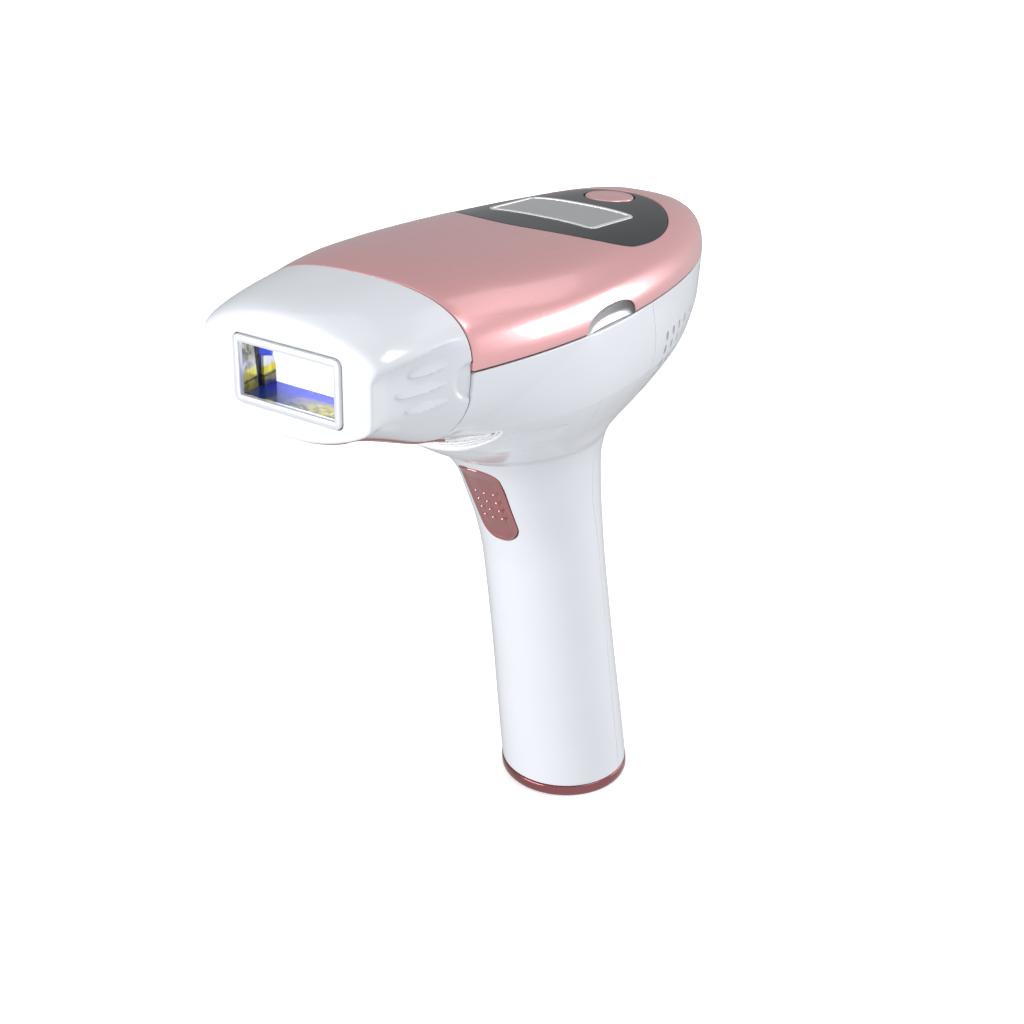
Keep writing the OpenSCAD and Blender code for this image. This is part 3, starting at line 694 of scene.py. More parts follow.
def at_button(p):
    """Local u to +X, v to the rear, w up out of the cover, in mm, to world metres."""
    p = np.asarray(p, float) * MM
    top = to_world(np.array([0, BUTTON[1], float(crown_z(0.0, BUTTON[1]))]))
    return top + p[..., :1] * [1.0, 0, 0] + p[..., 1:2] * BUTTON_REAR - p[..., 2:] * BUTTON_DOWN


def lcd_place(depth):
    """Placing function for flat display shapes that follow the cover."""
    def place(q):
        xy = q[..., :2] + [0, LCD_Y]
        z = crown_z(xy[..., 0], xy[..., 1]) + q[..., 2] - depth
        return to_world(np.concatenate([xy, z[..., None]], -1))
    return place


lcd_outline = rounded_rect(LCD_W + 1.5, LCD_L + 1.5, 1.9)
lcd_hole = prism("lcd_cutter", [(q[0], q[1] + LCD_Y) for q in lcd_outline], 5, 30, to_world)
button_outline = ellipse(BUTTON_R + 0.45, BUTTON_R + 0.45)
button_hole = prism("button_cutter", [q[:2] for q in button_outline], -8, 8, at_button)
cut(display_panel, lcd_hole, button_hole)
frame_profile = [(0.72, -1.2), (0.72, 0.06), (0.6, 0.16), (-0.3, 0.16), (-0.42, 0.06), (-0.42, -1.2)]


def subdivided(path, longest):
    """The closed path with its long stretches split."""
    out = []
    for a, b in zip(path, path[1:] + path[:1]):
        parts = max(1, int(math.hypot(b[0] - a[0], b[1] - a[1]) / longest))
        out += [tuple(a[m] + (b[m] - a[m]) * k / parts for m in range(4)) for k in range(parts)]
    return out


lcd_frame = lathe_path("lcd_frame_trim", subdivided(rounded_rect(LCD_W, LCD_L, 1.5, 6), 1.2),
                       frame_profile, lcd_place(PANEL_SINK))


def lcd_sheet(name, thick):
    """Clear sheet inside the display's frame."""
    x = (LCD_W / 2 - 0.25) * np.linspace(-1, 1, 36)
    y = LCD_Y + (LCD_L / 2 - 0.25) * np.linspace(-1, 1, 24)
    outer = on_crown(np.stack(np.meshgrid(x, y, indexing="ij"), -1)) - [0, 0, LCD_SINK]
    return shell_from_grid(name, outer, outer - [0, 0, thick], bevel=0)


lcd_lens = lcd_sheet("lcd_lens_sheet", 0.9)
button_profile = [
    (0, -3.6), (BUTTON_R - 0.6, -3.6), (BUTTON_R, -3.3), (BUTTON_R, -0.45), (BUTTON_R - 0.1, -0.2),
    (BUTTON_R - 0.35, 0.0), (BUTTON_R - 0.7, 0.06), (BUTTON_R - 1.2, 0.0), (BUTTON_R - 2.0, -0.06),
    (BUTTON_R - 4, -0.02), (1.2, 0.04), (0, 0.05),
]


def spun(name, profile, place, steps=96, angle=40):
    """Solid of revolution from (radius, height) pairs that start and end on the axis."""
    ring = profile[1:-1]
    verts = [(0, 0, profile[0][1]), (0, 0, profile[-1][1])]
    for r, h in ring:
        verts += [(r * math.cos(2 * math.pi * i / steps), r * math.sin(2 * math.pi * i / steps), h)
                  for i in range(steps)]
    faces = grid_faces(len(ring), steps, True, 2)
    last = 2 + (len(ring) - 1) * steps
    faces += [(0, 2 + (i + 1) % steps, 2 + i) for i in range(steps)]
    faces += [(1, last + i, last + (i + 1) % steps) for i in range(steps)]
    return new_object(name, place(np.array(verts)), faces, angle)


power_button = spun("power_button_cap", button_profile, at_button)

# ---------------------------------------------------------------- lamp nose
def at_window(q):
    """Local u to +X, v up, w out of the face, in mm, to world metres."""
    q = np.asarray(q, float)
    return to_world(np.stack([q[..., 0], FACE_Y - q[..., 2], FACE_Z + q[..., 1]], -1))


def face_radius(a):
    """Distance from the face's middle to its edge: arched above and below, straight at the sides."""
    up = np.abs(np.sin(a))
    bow = (FACE_HALF_HEIGHT - FACE_SIDE) * (np.cos(a) / FACE_HALF_WIDTH) ** 2
    arch = np.where(bow < 1e-6, FACE_HALF_HEIGHT / np.maximum(up, 1e-6),
                    (np.sqrt(up * up + 4 * bow * FACE_HALF_HEIGHT) - up) / (2 * np.maximum(bow, 1e-9)))
    side = FACE_HALF_WIDTH / np.maximum(np.abs(np.cos(a)), 1e-6)
    return -np.log(np.exp(-0.9 * side) + np.exp(-0.9 * arch)) / 0.9


def round_radius(a, y):
    """Distance from the barrel's axis to its surface at a section."""
    wide = half_width(y)
    up = np.sin(a) > 0
    high = np.where(up, crown(y), head_depth(y))
    n = np.where(up, CROWN_POWER, BELLY_POWER)
    return ((np.abs(np.cos(a)) / wide) ** n + (np.abs(np.sin(a)) / high) ** n) ** (-1 / n)


def nose_point(a, y, shrink=0.0):
    """Point of the nose's side wall at polar angle a and depth y."""
    t = np.clip((y - FACE_Y) / (SEAM_Y - FACE_Y), 0, 1)
    face, low, high = face_radius(a), t ** 0.7, t ** 0.4
    side = face * (1 - low) + round_radius(a, y) * low
    shoulder = face + (round_radius(a, SEAM_Y) - face) * high
    above = step_up(np.sin(a), 0.15, 0.29)
    r = side * (1 - above) + shoulder * above - shrink
    drop = FACE_Z * (1 - low * (1 - above) - high * above)
    return np.stack([r * np.cos(a), y + 0 * a, r * np.sin(a) + drop], -1)


# each ridge on the nose's side: height z at its front, front y, rear y, height over the skin
BLADES = [(2.5, -98.0, -88.0, 1.09), (-2.0, -101.4, -88.2, 1.21), (-6.6, -98.4, -87.6, 1.15)]
DISH_AT, DISH_SIZE, DISH_DEPTH = (-82.2, -2.0), (4.6, 5.4), 0.8


def nose_relief(p):
    """How far the nose's side stands proud (+) or sinks (-) from the plain shape."""
    x, y, z = np.abs(p[..., 0]), p[..., 1], p[..., 2]
    sides = step_up(x, 20, 25)
    top = 5.2 + 3.4 * step_up(y, -108, -88)
    along = step_up(y, -109, -103) * (1 - step_up(y, -92, -83.5))
    hollow = 0.7 * step_up(top - z, 0, 0.8) * step_up(z, -17, -8) * along
    rise = 0 * x
    for z0, y0, y1, tall in BLADES:
        t = np.clip((y - y0) / (y1 - y0), 0, 1)
        half = 1.25 * np.sqrt(np.maximum(np.sin(np.pi * t ** 0.75), 0)) + 0.05
        across = (z - z0 - 0.9 * (t - 0.3)) / half
        up = np.clip((across + 1) / 2, 0, 1)
        body = np.minimum(1, up / 0.16) * (1 - up) ** 0.8
        rise = np.maximum(rise, tall * body * np.sin(np.pi * t ** 0.75) ** 0.6)
    oval = np.hypot((y - DISH_AT[0]) / DISH_SIZE[0], (z - DISH_AT[1]) / DISH_SIZE[1])
    dish = DISH_DEPTH * (1 - step_up(oval, 0.72, 1.0))
    return sides * (rise - hollow - dish)


def nose_rows(wall_rows=130, columns=720):
    """Outer skin of the nose, from the window's edge over the face and back to the seam."""
    a = 2 * np.pi * (np.arange(columns) + 0.5) / columns
    rows = []
    rim = np.array([q[:2] for q in rounded_rect(WINDOW_W + 0.5, WINDOW_H + 0.5, 2.0, 24)])
    rim_a = np.arctan2(rim[:, 1], rim[:, 0])
    order = np.argsort(rim_a)
    rim, rim_a = rim[order], rim_a[order]
    wrapped = (a + np.pi) % (2 * np.pi) - np.pi
    rim_x = np.interp(wrapped, rim_a, rim[:, 0], period=2 * np.pi)
    rim_z = np.interp(wrapped, rim_a, rim[:, 1], period=2 * np.pi)
    fillet = 0.9
    edge = nose_point(a, FACE_Y + 0 * a, fillet)
    for f in (0, 0.04, 0.2, 0.4, 0.6, 0.8, 0.97):
        x = rim_x * (1 - f) + edge[:, 0] * f
        z = (rim_z + FACE_Z) * (1 - f) + edge[:, 2] * f
        rows.append(np.stack([x, FACE_Y + 0 * a, z], -1))
    for k in range(9):
        q = math.pi / 2 * k / 8
        y = FACE_Y + fillet * (1 - math.cos(q))
        rows.append(nose_point(a, y + 0 * a, fillet * (1 - math.sin(q))))
    for y in np.linspace(FACE_Y + fillet, SEAM_Y - GAP, wall_rows)[1:]:
        rows.append(nose_point(a, y + 0 * a))
    return np.array(rows)


def grid_normals(p):
    """Unit normals of a wrapped point grid."""
    du = np.roll(p, -1, 1) - np.roll(p, 1, 1)
    dv = np.gradient(p, axis=0)
    n = np.cross(du, dv)
    return n / np.maximum(np.linalg.norm(n, axis=-1, keepdims=True), 1e-9)


nose = nose_rows()
nose_n = grid_normals(nose)
outward = np.sign((nose_n[60] * (nose[60] - nose[60].mean(0))).sum())
nose_n *= outward
nose_inner = nose - nose_n * NOSE_WALL
nose_inner[:8] = nose[:8] + [0, NOSE_WALL, 0]
nose = nose + nose_n * nose_relief(nose)[..., None]
nose_housing = shell_from_grid("nose_housing_skin", nose, nose_inner, wrap=True, bevel=0.25, angle=40)

bezel_profile = [(0, -2.4), (0, 0.3), (-0.1, 0.5), (-0.3, 0.62), (-1.7, 0.66), (-1.85, 0.58),
                 (-1.95, 0.4), (-WINDOW_LIP, 0.2), (-WINDOW_LIP, -0.8), (-WINDOW_LIP, -2.4)]
window_bezel = lathe_path("window_bezel_frame", rounded_rect(WINDOW_W, WINDOW_H, 1.9, 10),
                          bezel_profile, at_window, angle=50)
pane_outline = rounded_rect(WINDOW_W - 2 * WINDOW_LIP - 0.05, WINDOW_H - 2 * WINDOW_LIP - 0.05, 0.6)
filter_glass = prism("filter_glass_pane", [q[:2] for q in pane_outline], -0.75, -0.35, at_window)


def well_wall(name, corners, normal_in, thick=0.5):
    """Flat wall of the light well from four (u, v, w) corners, thickened away from the inside."""
    c = np.array(corners, float)
    back = c - np.array(normal_in, float) * thick
    verts = np.concatenate([c, back])
    faces = [(0, 1, 2, 3), (7, 6, 5, 4)] + [(i, 4 + i, 4 + (i + 1) % 4, (i + 1) % 4) for i in range(4)]
    return new_object(name, at_window(verts), faces)


WELL_X, WELL_Z, WELL_FRONT, WELL_END = 14.97, 6.67, -0.8, -11.8
LOW_LEFT, LOW_RIGHT, TOP_RIGHT, TOP_LEFT = (
    (-WELL_X, -WELL_Z), (WELL_X, -WELL_Z), (WELL_X, WELL_Z), (-WELL_X, WELL_Z))


def well_side(name, a, b, normal_in):
    """Wall of the well between two of its long edges."""
    corners = [(*a, WELL_FRONT), (*b, WELL_FRONT), (*b, WELL_END), (*a, WELL_END)]
    return well_wall(name, corners, normal_in)


well_left = well_side("well_left", LOW_LEFT, TOP_LEFT, (1, 0, 0))
well_right = well_side("well_right", LOW_RIGHT, TOP_RIGHT, (-1, 0, 0))
well_floor = well_side("well_floor", LOW_LEFT, LOW_RIGHT, (0, 1, 0))
well_roof = well_side("well_roof", TOP_LEFT, TOP_RIGHT, (0, -1, 0))
back_corners = [(*corner, WELL_END) for corner in (LOW_LEFT, LOW_RIGHT, TOP_RIGHT, TOP_LEFT)]
well_back = well_wall("well_back", back_corners, (0, 0, 1))
prism_x, prism_front, prism_end = 0.05 - WELL_X, -7.0, -11.2
well_prism = well_wall("well_prism", [(prism_x, -WELL_Z, prism_front), (prism_x, -WELL_Z, prism_end),
                                      (prism_x, 0.2, prism_end), (prism_x, 1.4, prism_front)],
                       (-1, 0, 0), 0.9)

# ---------------------------------------------------------------- rose strips under the head
STRIP_PROUD, STRIP_THICK = 0.42, 0.7


def strip(name, y0, y1, half, under):
    """Thin trim that follows the underside of the head."""
    y, x = np.meshgrid(np.linspace(y0, y1, 24), half * np.linspace(-1, 1, 61), indexing="ij")
    outer = under(x, y) - [0, 0, STRIP_PROUD]
    return shell_from_grid(name, outer, outer + [0, 0, STRIP_THICK], bevel=0)


def nose_under(x, y):
    """Point of the nose's underside at a given x and y, found along the polar angle."""
    lo, hi = np.full(x.shape, -math.pi + 0.02), np.full(x.shape, -0.02)
    for _ in range(30):
        mid = (lo + hi) / 2
        left = nose_point(mid, y)[..., 0] < x
        lo, hi = np.where(left, mid, lo), np.where(left, hi, mid)
    return nose_point((lo + hi) / 2, y)


def head_under(x, y):
    """Point of the housing's underside at a given x and y."""
    origin = np.stack([x, y, 0 * x], -1)
    return cast(body_side, origin, np.broadcast_to([0, 0, -1.0], x.shape + (3,)))


nose_strip = strip("nose_underplate_trim", FACE_Y + 1.6, SEAM_Y - GAP - 0.1, 16.5, nose_under)
head_strip = strip("head_underplate_trim", SEAM_Y + GAP + 0.1, -72.5, 19.0, head_under)

# ---------------------------------------------------------------- intake grille
def grille_rib(name, rx, ry, width, depth, thick):
    """Lens-shaped ring in the intake that follows the underside of the head."""
    a = np.linspace(0, 2 * math.pi, 121)[:-1]
    x, y = rx * np.cos(a), ry * np.sin(a)
    nx, ny = np.cos(a) / rx, np.sin(a) / ry
    size = np.hypot(nx, ny)
    nx, ny = nx / size, ny / size
    pts = []
    for out, deep in ((width / 2, depth + 0.15), (width / 2 - 0.15, depth), (-width / 2 + 0.15, depth),
                      (-width / 2, depth + 0.15), (-width / 2, depth + thick), (width / 2, depth + thick)):
        px, py = x + nx * out, y + ny * out + INTAKE_Y
        p = head_under(px, py)
        pts.append(p - normals_of(body_side, p) * deep)
    pts = np.stack(pts, 1)
    return new_object(name, to_world(pts.reshape(-1, 3)), tube_faces(*pts.shape[:2]))


grille = [
    grille_rib("intake_rim", 30.2, 6.4, 1.0, 0.1, 1.8),
    grille_rib("intake_rib_outer", 29.0, 4.3, 0.8, 0.5, 1.5),
    grille_rib("intake_rib_inner", 27.0, 2.0, 0.8, 0.5, 1.5),
]


def grille_bars():
    """Short cross bars between the ribs, joined as one piece."""
    verts, faces = [], []
    points = 13
    for k in range(-9, 10):
        x = 2.9 * k
        span = 6.2 * math.sqrt(max(0, 1 - (x / 30) ** 2)) - 0.3
        if span < 1.2:
            continue
        ys = np.linspace(-span, span, points) + INTAKE_Y
        rows = []
        for dx, deep in ((-0.3, 0.75), (0.3, 0.75), (0.3, 1.6), (-0.3, 1.6)):
            p = head_under(np.full(points, x + dx), ys)
            rows.append(p - normals_of(body_side, p) * deep)
        pts = np.stack(rows, 1)
        start = len(verts)
        verts += list(pts.reshape(-1, 3))
        faces += grid_faces(points, 4, True, start)
        faces += [tuple(range(start, start + 4))[::-1], tuple(range(len(verts) - 4, len(verts)))]
    return new_object("intake_cross_bars", to_world(np.array(verts)), faces)


grille.append(grille_bars())


def intake_mesh(depth, thick):
    """Dark screen behind the ribs."""
    x, s = np.meshgrid(29.5 * np.linspace(-1, 1, 61), np.linspace(-1, 1, 17), indexing="ij")
    p = head_under(x, INTAKE_Y + s * 6.4 * np.sqrt(np.maximum(0.02, 1 - (x / 30) ** 2)))
    n = normals_of(body_side, p)
    return shell_from_grid("intake_screen", p - n * depth, p - n * (depth + thick), bevel=0)


intake_screen = intake_mesh(2.3, 0.3)

# ---------------------------------------------------------------- trigger
def handle_lift(u, v):
    """Height of the handle's surface over the trigger's plane."""
    start = to_barrel(at_trigger(np.stack([u, v, 0 * u - TRIGGER_DEEP], -1)))
    outward = to_barrel(at_trigger(np.array([0, 0, 1.0]))) - to_barrel(at_trigger(np.zeros(3)))
    hit = cast(body_side, start, np.broadcast_to(outward, start.shape), 30)
    return np.linalg.norm(hit - start, axis=-1) - TRIGGER_DEEP


# the pad's section from its skirt over its rim to its face: (outward, up)
PAD_SECTION = [(0, -TRIGGER_DEEP), (0, -0.4), (-0.1, 0.1), (-0.35, 0.42), (-0.8, 0.55), (-1.25, 0.42),
               (-1.6, 0.15), (-2.2, 0.0), (-3.2, 0.0), (-4.4, 0.0), (-5.6, 0.0), (-6.6, 0.0)]


def trigger_pad():
    """Pad that follows the handle, with a raised rim round a sunk face, on a straight skirt."""
    ring = rounded_rect(TRIGGER_W, TRIGGER_L, 5.6, 14)
    rows = [[(u + nu * out, v + nv * out - TRIGGER_DROP, up) for u, v, nu, nv in ring]
            for out, up in PAD_SECTION]
    rows.append([(0, max(-8, min(8, v)) - TRIGGER_DROP, 0.0) for u, v, nu, nv in ring])
    rows = np.array(rows, float)
    rows[1:, :, 2] += handle_lift(rows[1:, :, 0], rows[1:, :, 1])
    n = rows.shape[1]
    faces = grid_faces(len(rows), n, True)
    faces.append(tuple(range(n))[::-1])
    return new_object("trigger_pad", at_trigger(rows.reshape(-1, 3)), faces, 50)


def trigger_nubs():
    """Four rows of three domed nubs on the pad, joined as one piece."""
    verts, faces = [], []
    for row in (-1.5, -0.5, 0.5, 1.5):
        for column in (-1, 0, 1):
            start = len(verts)
            cx, cy = 3.1 * column, 3.4 * row - 2.2
            base = float(handle_lift(np.array([cx]), np.array([cy]))[0])
            rings, steps = 7, 20
            for i in range(rings):
                q = math.pi / 2 * i / (rings - 1)
                for k in range(steps):
                    b = 2 * math.pi * k / steps
                    r = 1.0 * math.cos(q) + 1e-4
                    top = base + 0.8 * math.sin(q) - 0.15
                    verts.append((cx + r * math.cos(b), cy + r * math.sin(b), top))
            faces += grid_faces(rings, steps, True, start)
            faces.append(tuple(start + k for k in range(steps))[::-1])
            faces.append(tuple(start + (rings - 1) * steps + k for k in range(steps)))
    return new_object("trigger_nubs", at_trigger(np.array(verts)), faces, 60)


trigger_parts = [trigger_pad(), trigger_nubs()]

# ---------------------------------------------------------------- foot
ring_profile = [(0, 0.5), (0, RING_H - 0.45), (-0.15, RING_H - 0.12), (-0.5, RING_H), (-2.0, RING_H),
                (-2.0, 0), (-0.5, 0), (-0.15, 0.15)]
base_ring = lathe_path("base_ring_band", ellipse(BASE_RX, BASE_RY, 160), ring_profile,
                       lambda q: np.asarray(q) * MM, angle=50)

# ---------------------------------------------------------------- materials
def feed(tree, node, **inputs):
    """Sets a node's inputs to values or links them to sockets; _ in a key stands for a space."""
    for key, value in inputs.items():
        socket = node.inputs[key.replace("_", " ")]
        if isinstance(value, bpy.types.NodeSocket):
            tree.links.new(value, socket)
        else:
            socket.default_value = value
    return node


def add_node(tree, kind, **inputs):
    """New shader node, fed with values and sockets."""
    return feed(tree, tree.nodes.new("ShaderNode" + kind), **inputs)


def material(name, colour, rough, metal=0.0, vary=0.04, bump=0.0, scale=60.0, fine=900.0, **sockets):
    """Principled surface whose colour, gloss and grain vary a little over the piece."""
    mat = bpy.data.materials.new(name)
    mat.use_nodes = True
    tree = mat.node_tree
    shader = tree.nodes["Principled BSDF"]
    coord = add_node(tree, "TexCoord").outputs["Object"]
    noise = add_node(tree, "TexNoise", Scale=scale, Detail=4.0, Vector=coord).outputs["Fac"]
    ramp = add_node(tree, "ValToRGB", Fac=noise)
    ramp.color_ramp.interpolation = "EASE"
    for element, position, share in zip(ramp.color_ramp.elements, (0.15, 0.85), (1 - vary, 1 + vary)):
        element.position = position
        element.color = (*[min(1, c * share) for c in colour], 1)
    spread = add_node(tree, "MapRange", To_Min=rough * 0.92, To_Max=rough * 1.08, Value=noise)
    feed(tree, shader, Base_Color=ramp.outputs["Color"], Roughness=spread.outputs["Result"], Metallic=metal)
    if bump:
        grain = add_node(tree, "TexNoise", Scale=fine, Detail=2.0, Vector=coord).outputs["Fac"]
        node = add_node(tree, "Bump", Strength=bump, Distance=0.0001, Height=grain)
        feed(tree, shader, Normal=node.outputs["Normal"])
    feed(tree, shader, **sockets)
    return mat


def add_ramp(tree, source, stops, sharp=False):
    """Colour ramp fed by a value socket; returns its colour socket."""
    ramp = add_node(tree, "ValToRGB", Fac=source)
    ramp.color_ramp.interpolation = "CONSTANT" if sharp else "LINEAR"
    for k, (pos, colour) in enumerate(stops):
        element = ramp.color_ramp.elements[k] if k < 2 else ramp.color_ramp.elements.new(pos)
        element.position, element.color = pos, (*colour, 1)
    return ramp.outputs["Color"]


def add_range(tree, source, low, high):
    """Value socket that runs from 0 at low to 1 at high."""
    return add_node(tree, "MapRange", From_Min=low, From_Max=high, Value=source).outputs["Result"]


def split_place(mat):
    """Object coordinates of a finish, whole and as x, y and z sockets."""
    coord = next(n for n in mat.node_tree.nodes if n.type == "TEX_COORD").outputs["Object"]
    return coord, add_node(mat.node_tree, "SeparateXYZ", Vector=coord).outputs


def add_mix(tree, factor, a, b, blend="MIX"):
    """Colour socket of a mix of two colour sockets."""
    node = tree.nodes.new("ShaderNodeMix")
    node.data_type, node.blend_type = "RGBA", blend
    if isinstance(factor, float):
        node.inputs["Factor"].default_value = factor
    else:
        tree.links.new(factor, node.inputs["Factor"])
    tree.links.new(a, node.inputs["A"])
    tree.links.new(b, node.inputs["B"])
    return node.outputs["Result"]


def paint_reflection_along(mat, span, stops):
    """Paints a reflection into a finish's colour, as colours that run along the barrel."""
    tree = mat.node_tree
    _, place = split_place(mat)
    colour = add_ramp(tree, add_range(tree, place["Y"], *span), stops)
    feed(tree, tree.nodes["Principled BSDF"], Base_Color=colour)


def painted_reflection_finish(name, bands, depth, patch, rise, heights, across=None, rough=0.1, metal=0.3):
    """Painted reflections in the clear light guide: bands of colour along the depth of the light well, with
    painted mirror-like gold patches.
    patch: mask over the depth; heights: colours of the patches over the rise; across: mask over x."""
    mat = material(name, (0.8, 0.8, 0.8), rough, metal)
    tree = mat.node_tree
    coord, place = split_place(mat)
    reach = add_range(tree, place["Y"], *depth)
    base = add_ramp(tree, reach, bands)
    stretch = add_node(tree, "Mapping", Scale=(900, 1300, 620), Rotation=(0.5, 0.3, 0.2), Vector=coord)
    cells = add_node(tree, "TexVoronoi", Scale=1.0, Vector=stretch.outputs["Vector"])
    shade = add_node(tree, "SeparateColor", Color=cells.outputs["Color"])
    # Painted glints: speckles of reflected light in the light guide.
    tones = [(0.0, (0.10, 0.10, 0.10)), (0.25, (0.75, 0.70, 0.45)), (0.5, (0.40, 0.40, 0.38)),
             (0.68, (1.0, 1.0, 0.9)), (0.85, (0.22, 0.22, 0.24))]
    painted_glints = add_ramp(tree, shade.outputs["Red"], tones, True)
    tall = add_ramp(tree, add_range(tree, place["Z"], *rise), heights)
    speckled = add_mix(tree, 0.5, tall, painted_glints, "OVERLAY")
    mask = add_ramp(tree, reach, patch)
    if across:
        side = add_ramp(tree, add_range(tree, place["X"], -WELL_X * MM, WELL_X * MM), across)
        mask = add_mix(tree, 1.0, mask, side, "MULTIPLY")
    feed(tree, tree.nodes["Principled BSDF"], Base_Color=add_mix(tree, mask, base, speckled))
    return mat


WHITE = material("white_gloss_paint", (0.69, 0.71, 0.75), 0.2, vary=0.012,
                 Coat_Weight=0.6, Coat_Roughness=0.06)
ROSE = material("rose_metal_paint", (0.84, 0.43, 0.44), 0.27, 0.6, 0.02, 0.04, 25, 3500,
                Coat_Weight=0.7, Coat_Roughness=0.08)
# Near-black rose: painted shade for the gaps of the joints.
JOINT_SHADE = material("seam_painted_shade", (0.06, 0.014, 0.018), 0.45, 0.2)
COPPER = material("copper_metal_paint", (0.44, 0.17, 0.17), 0.2, 0.8, 0.04, 0.1, 60, 3500,
                  Coat_Weight=0.6, Coat_Roughness=0.08)
RING = material("ring_dark_metal", (0.27, 0.075, 0.08), 0.22, 0.8, 0.04, 0.1, 60, 3500,
                Coat_Weight=0.6, Coat_Roughness=0.08)
PANEL = material("panel_dark_gloss", (0.016, 0.018, 0.022), 0.2, vary=0.15,
                 Specular_IOR_Level=0.25, Coat_Weight=0.25, Coat_Roughness=0.04)
LENS = material("lens_smoke", (0.30, 0.31, 0.31), 0.2, vary=0.08, scale=25,
                Coat_Weight=1.0, Coat_Roughness=0.02)
TRIM = material("silver_trim_metal", (0.93, 0.93, 0.95), 0.3, 0.7, 0.03)
# Painted reflection: the accent's colour runs from light to dark along the barrel.
PAINTED_REFLECTION_CHROME = material("satin_chrome_painted_reflection", (0.50, 0.49, 0.50), 0.22, 1.0, 0.03, 0.05, 80, 2500)
paint_reflection_along(PAINTED_REFLECTION_CHROME, (-0.040, -0.019),
            [(0.0, (0.66, 0.65, 0.66)), (0.55, (0.5, 0.49, 0.5)), (1.0, (0.14, 0.14, 0.15))])
BEZEL = material("bezel_satin", (0.72, 0.73, 0.77), 0.24, 0.35, 0.02, Coat_Weight=0.5)
GLASS = material("filter_coated_glass", (0.97, 0.98, 1.0), 0.01, vary=0.005,
                 Transmission_Weight=1.0, IOR=1.08)
GRILLE = material("grille_white_paint", (0.88, 0.89, 0.91), 0.25, vary=0.02, Coat_Weight=0.4)
SCREEN = material("intake_mesh_dark", (0.22, 0.23, 0.26), 0.6, vary=0.3, scale=2500)

BLUE, INK, BLACK, LIT = (0.015, 0.04, 0.62), (0.01, 0.01, 0.02), (0.0, 0.0, 0.0), (1.0, 1.0, 1.0)
GOLD, SILVER, OLIVE = (0.80, 0.70, 0.05), (0.50, 0.50, 0.46), (0.22, 0.20, 0.03)
well_depth = tuple(float(at_window(np.array([0, 0, w]))[1]) for w in (WELL_FRONT, WELL_END))
well_rise = tuple(float(at_window(np.array([0, v, -6.0]))[2]) for v in (-WELL_Z, WELL_Z))
# The light well's bands, gold patches and glints below are painted reflections; the light guide itself is clear.
SIDE_BANDS = [(0.0, SILVER), (0.39, SILVER), (0.40, INK), (0.53, INK), (0.55, BLUE), (1.0, (0.03, 0.07, 0.75))]
SIDE_HEIGHTS = [(0.0, OLIVE), (0.18, (0.45, 0.40, 0.04)), (0.22, INK), (0.26, GOLD), (0.40, (0.85, 0.78, 0.12)),
                (0.48, SILVER), (0.8, (0.3, 0.3, 0.24)), (1.0, (0.55, 0.52, 0.3))]
WELL_SIDE = painted_reflection_finish("well_side_painted_reflection", SIDE_BANDS, well_depth, [(0.0, LIT), (0.38, LIT), (0.40, BLACK)],
                          well_rise, SIDE_HEIGHTS)
FLOOR_BANDS = [(0.0, (0.01, 0.05, 0.25)), (0.4, (0.01, 0.04, 0.4)), (0.6, BLUE), (0.9, BLUE),
               (0.97, (0.15, 0.3, 0.95))]
WELL_FLOOR = painted_reflection_finish("well_floor_painted_reflection", FLOOR_BANDS, well_depth, [(0.0, LIT), (0.45, LIT), (0.62, BLACK)],
                           well_rise, [(0.0, (0.5, 0.45, 0.1)), (1.0, SILVER)], [(0.35, BLACK), (0.75, LIT)])
PRISM_HEIGHTS = [(0.0, (0.02, 0.03, 0.2)), (0.16, OLIVE), (0.2, INK), (0.25, GOLD), (0.36, GOLD),
                 (0.40, (0.8, 0.8, 0.76)), (0.6, (0.9, 0.9, 0.92))]
PRISM = painted_reflection_finish("well_prism_painted_reflection", [(0.0, SILVER), (1.0, SILVER)], well_depth, [(0.0, LIT), (1.0, LIT)],
                      well_rise, PRISM_HEIGHTS)
# Painted glow: the well's back wall gives off light though it is no lamp.
WELL_BACK_GLOW = material("well_back_painted_glow", (0.96, 0.97, 1.0), 0.35, vary=0.01,
                     Emission_Strength=0.95, Emission_Color=(1, 1, 1, 1))

NODE_LOOKS = {
    "lcd_module": material("lcd_grey", (0.42, 0.44, 0.44), 0.4),
    "display_board": material("board_green_mask", (0.02, 0.16, 0.07), 0.45, vary=0.15, scale=300),
    "power_switch": material("switch_dark_plastic", (0.03, 0.03, 0.035), 0.5),
    "base_cap": material("base_cap_white", (0.7, 0.71, 0.74), 0.35),
    "flash_capacitor": material("can_blue_sleeve", (0.02, 0.04, 0.2), 0.3),
    "pulse_transformer": material("winding_copper_wire", (0.6, 0.28, 0.12), 0.35, 0.7, 0.2, 0.3, 400, 1500),
    "heat_sink": material("sink_aluminium_metal", (0.72, 0.73, 0.75), 0.38, 1.0),
    "fan_frame": material("fan_black_plastic", (0.02, 0.02, 0.022), 0.45),
    "lamp_socket": material("inner_grey_plastic", (0.35, 0.37, 0.4), 0.5),
    "socket_contacts": material("contact_brass_plate", (0.8, 0.58, 0.22), 0.25, 1.0),
    "socket_screws": material("screw_steel_metal", (0.62, 0.62, 0.64), 0.25, 1.0),
    "flash_tube": material("quartz_tube", (0.9, 0.93, 0.96), 0.05, vary=0.01, Transmission_Weight=0.8),
    "reflector": material("mirror_bright_metal", (0.9, 0.9, 0.88), 0.05, 1.0, 0.01),
    "tube_end_caps": material("cap_steel_metal", (0.5, 0.5, 0.5), 0.3, 1.0),
}
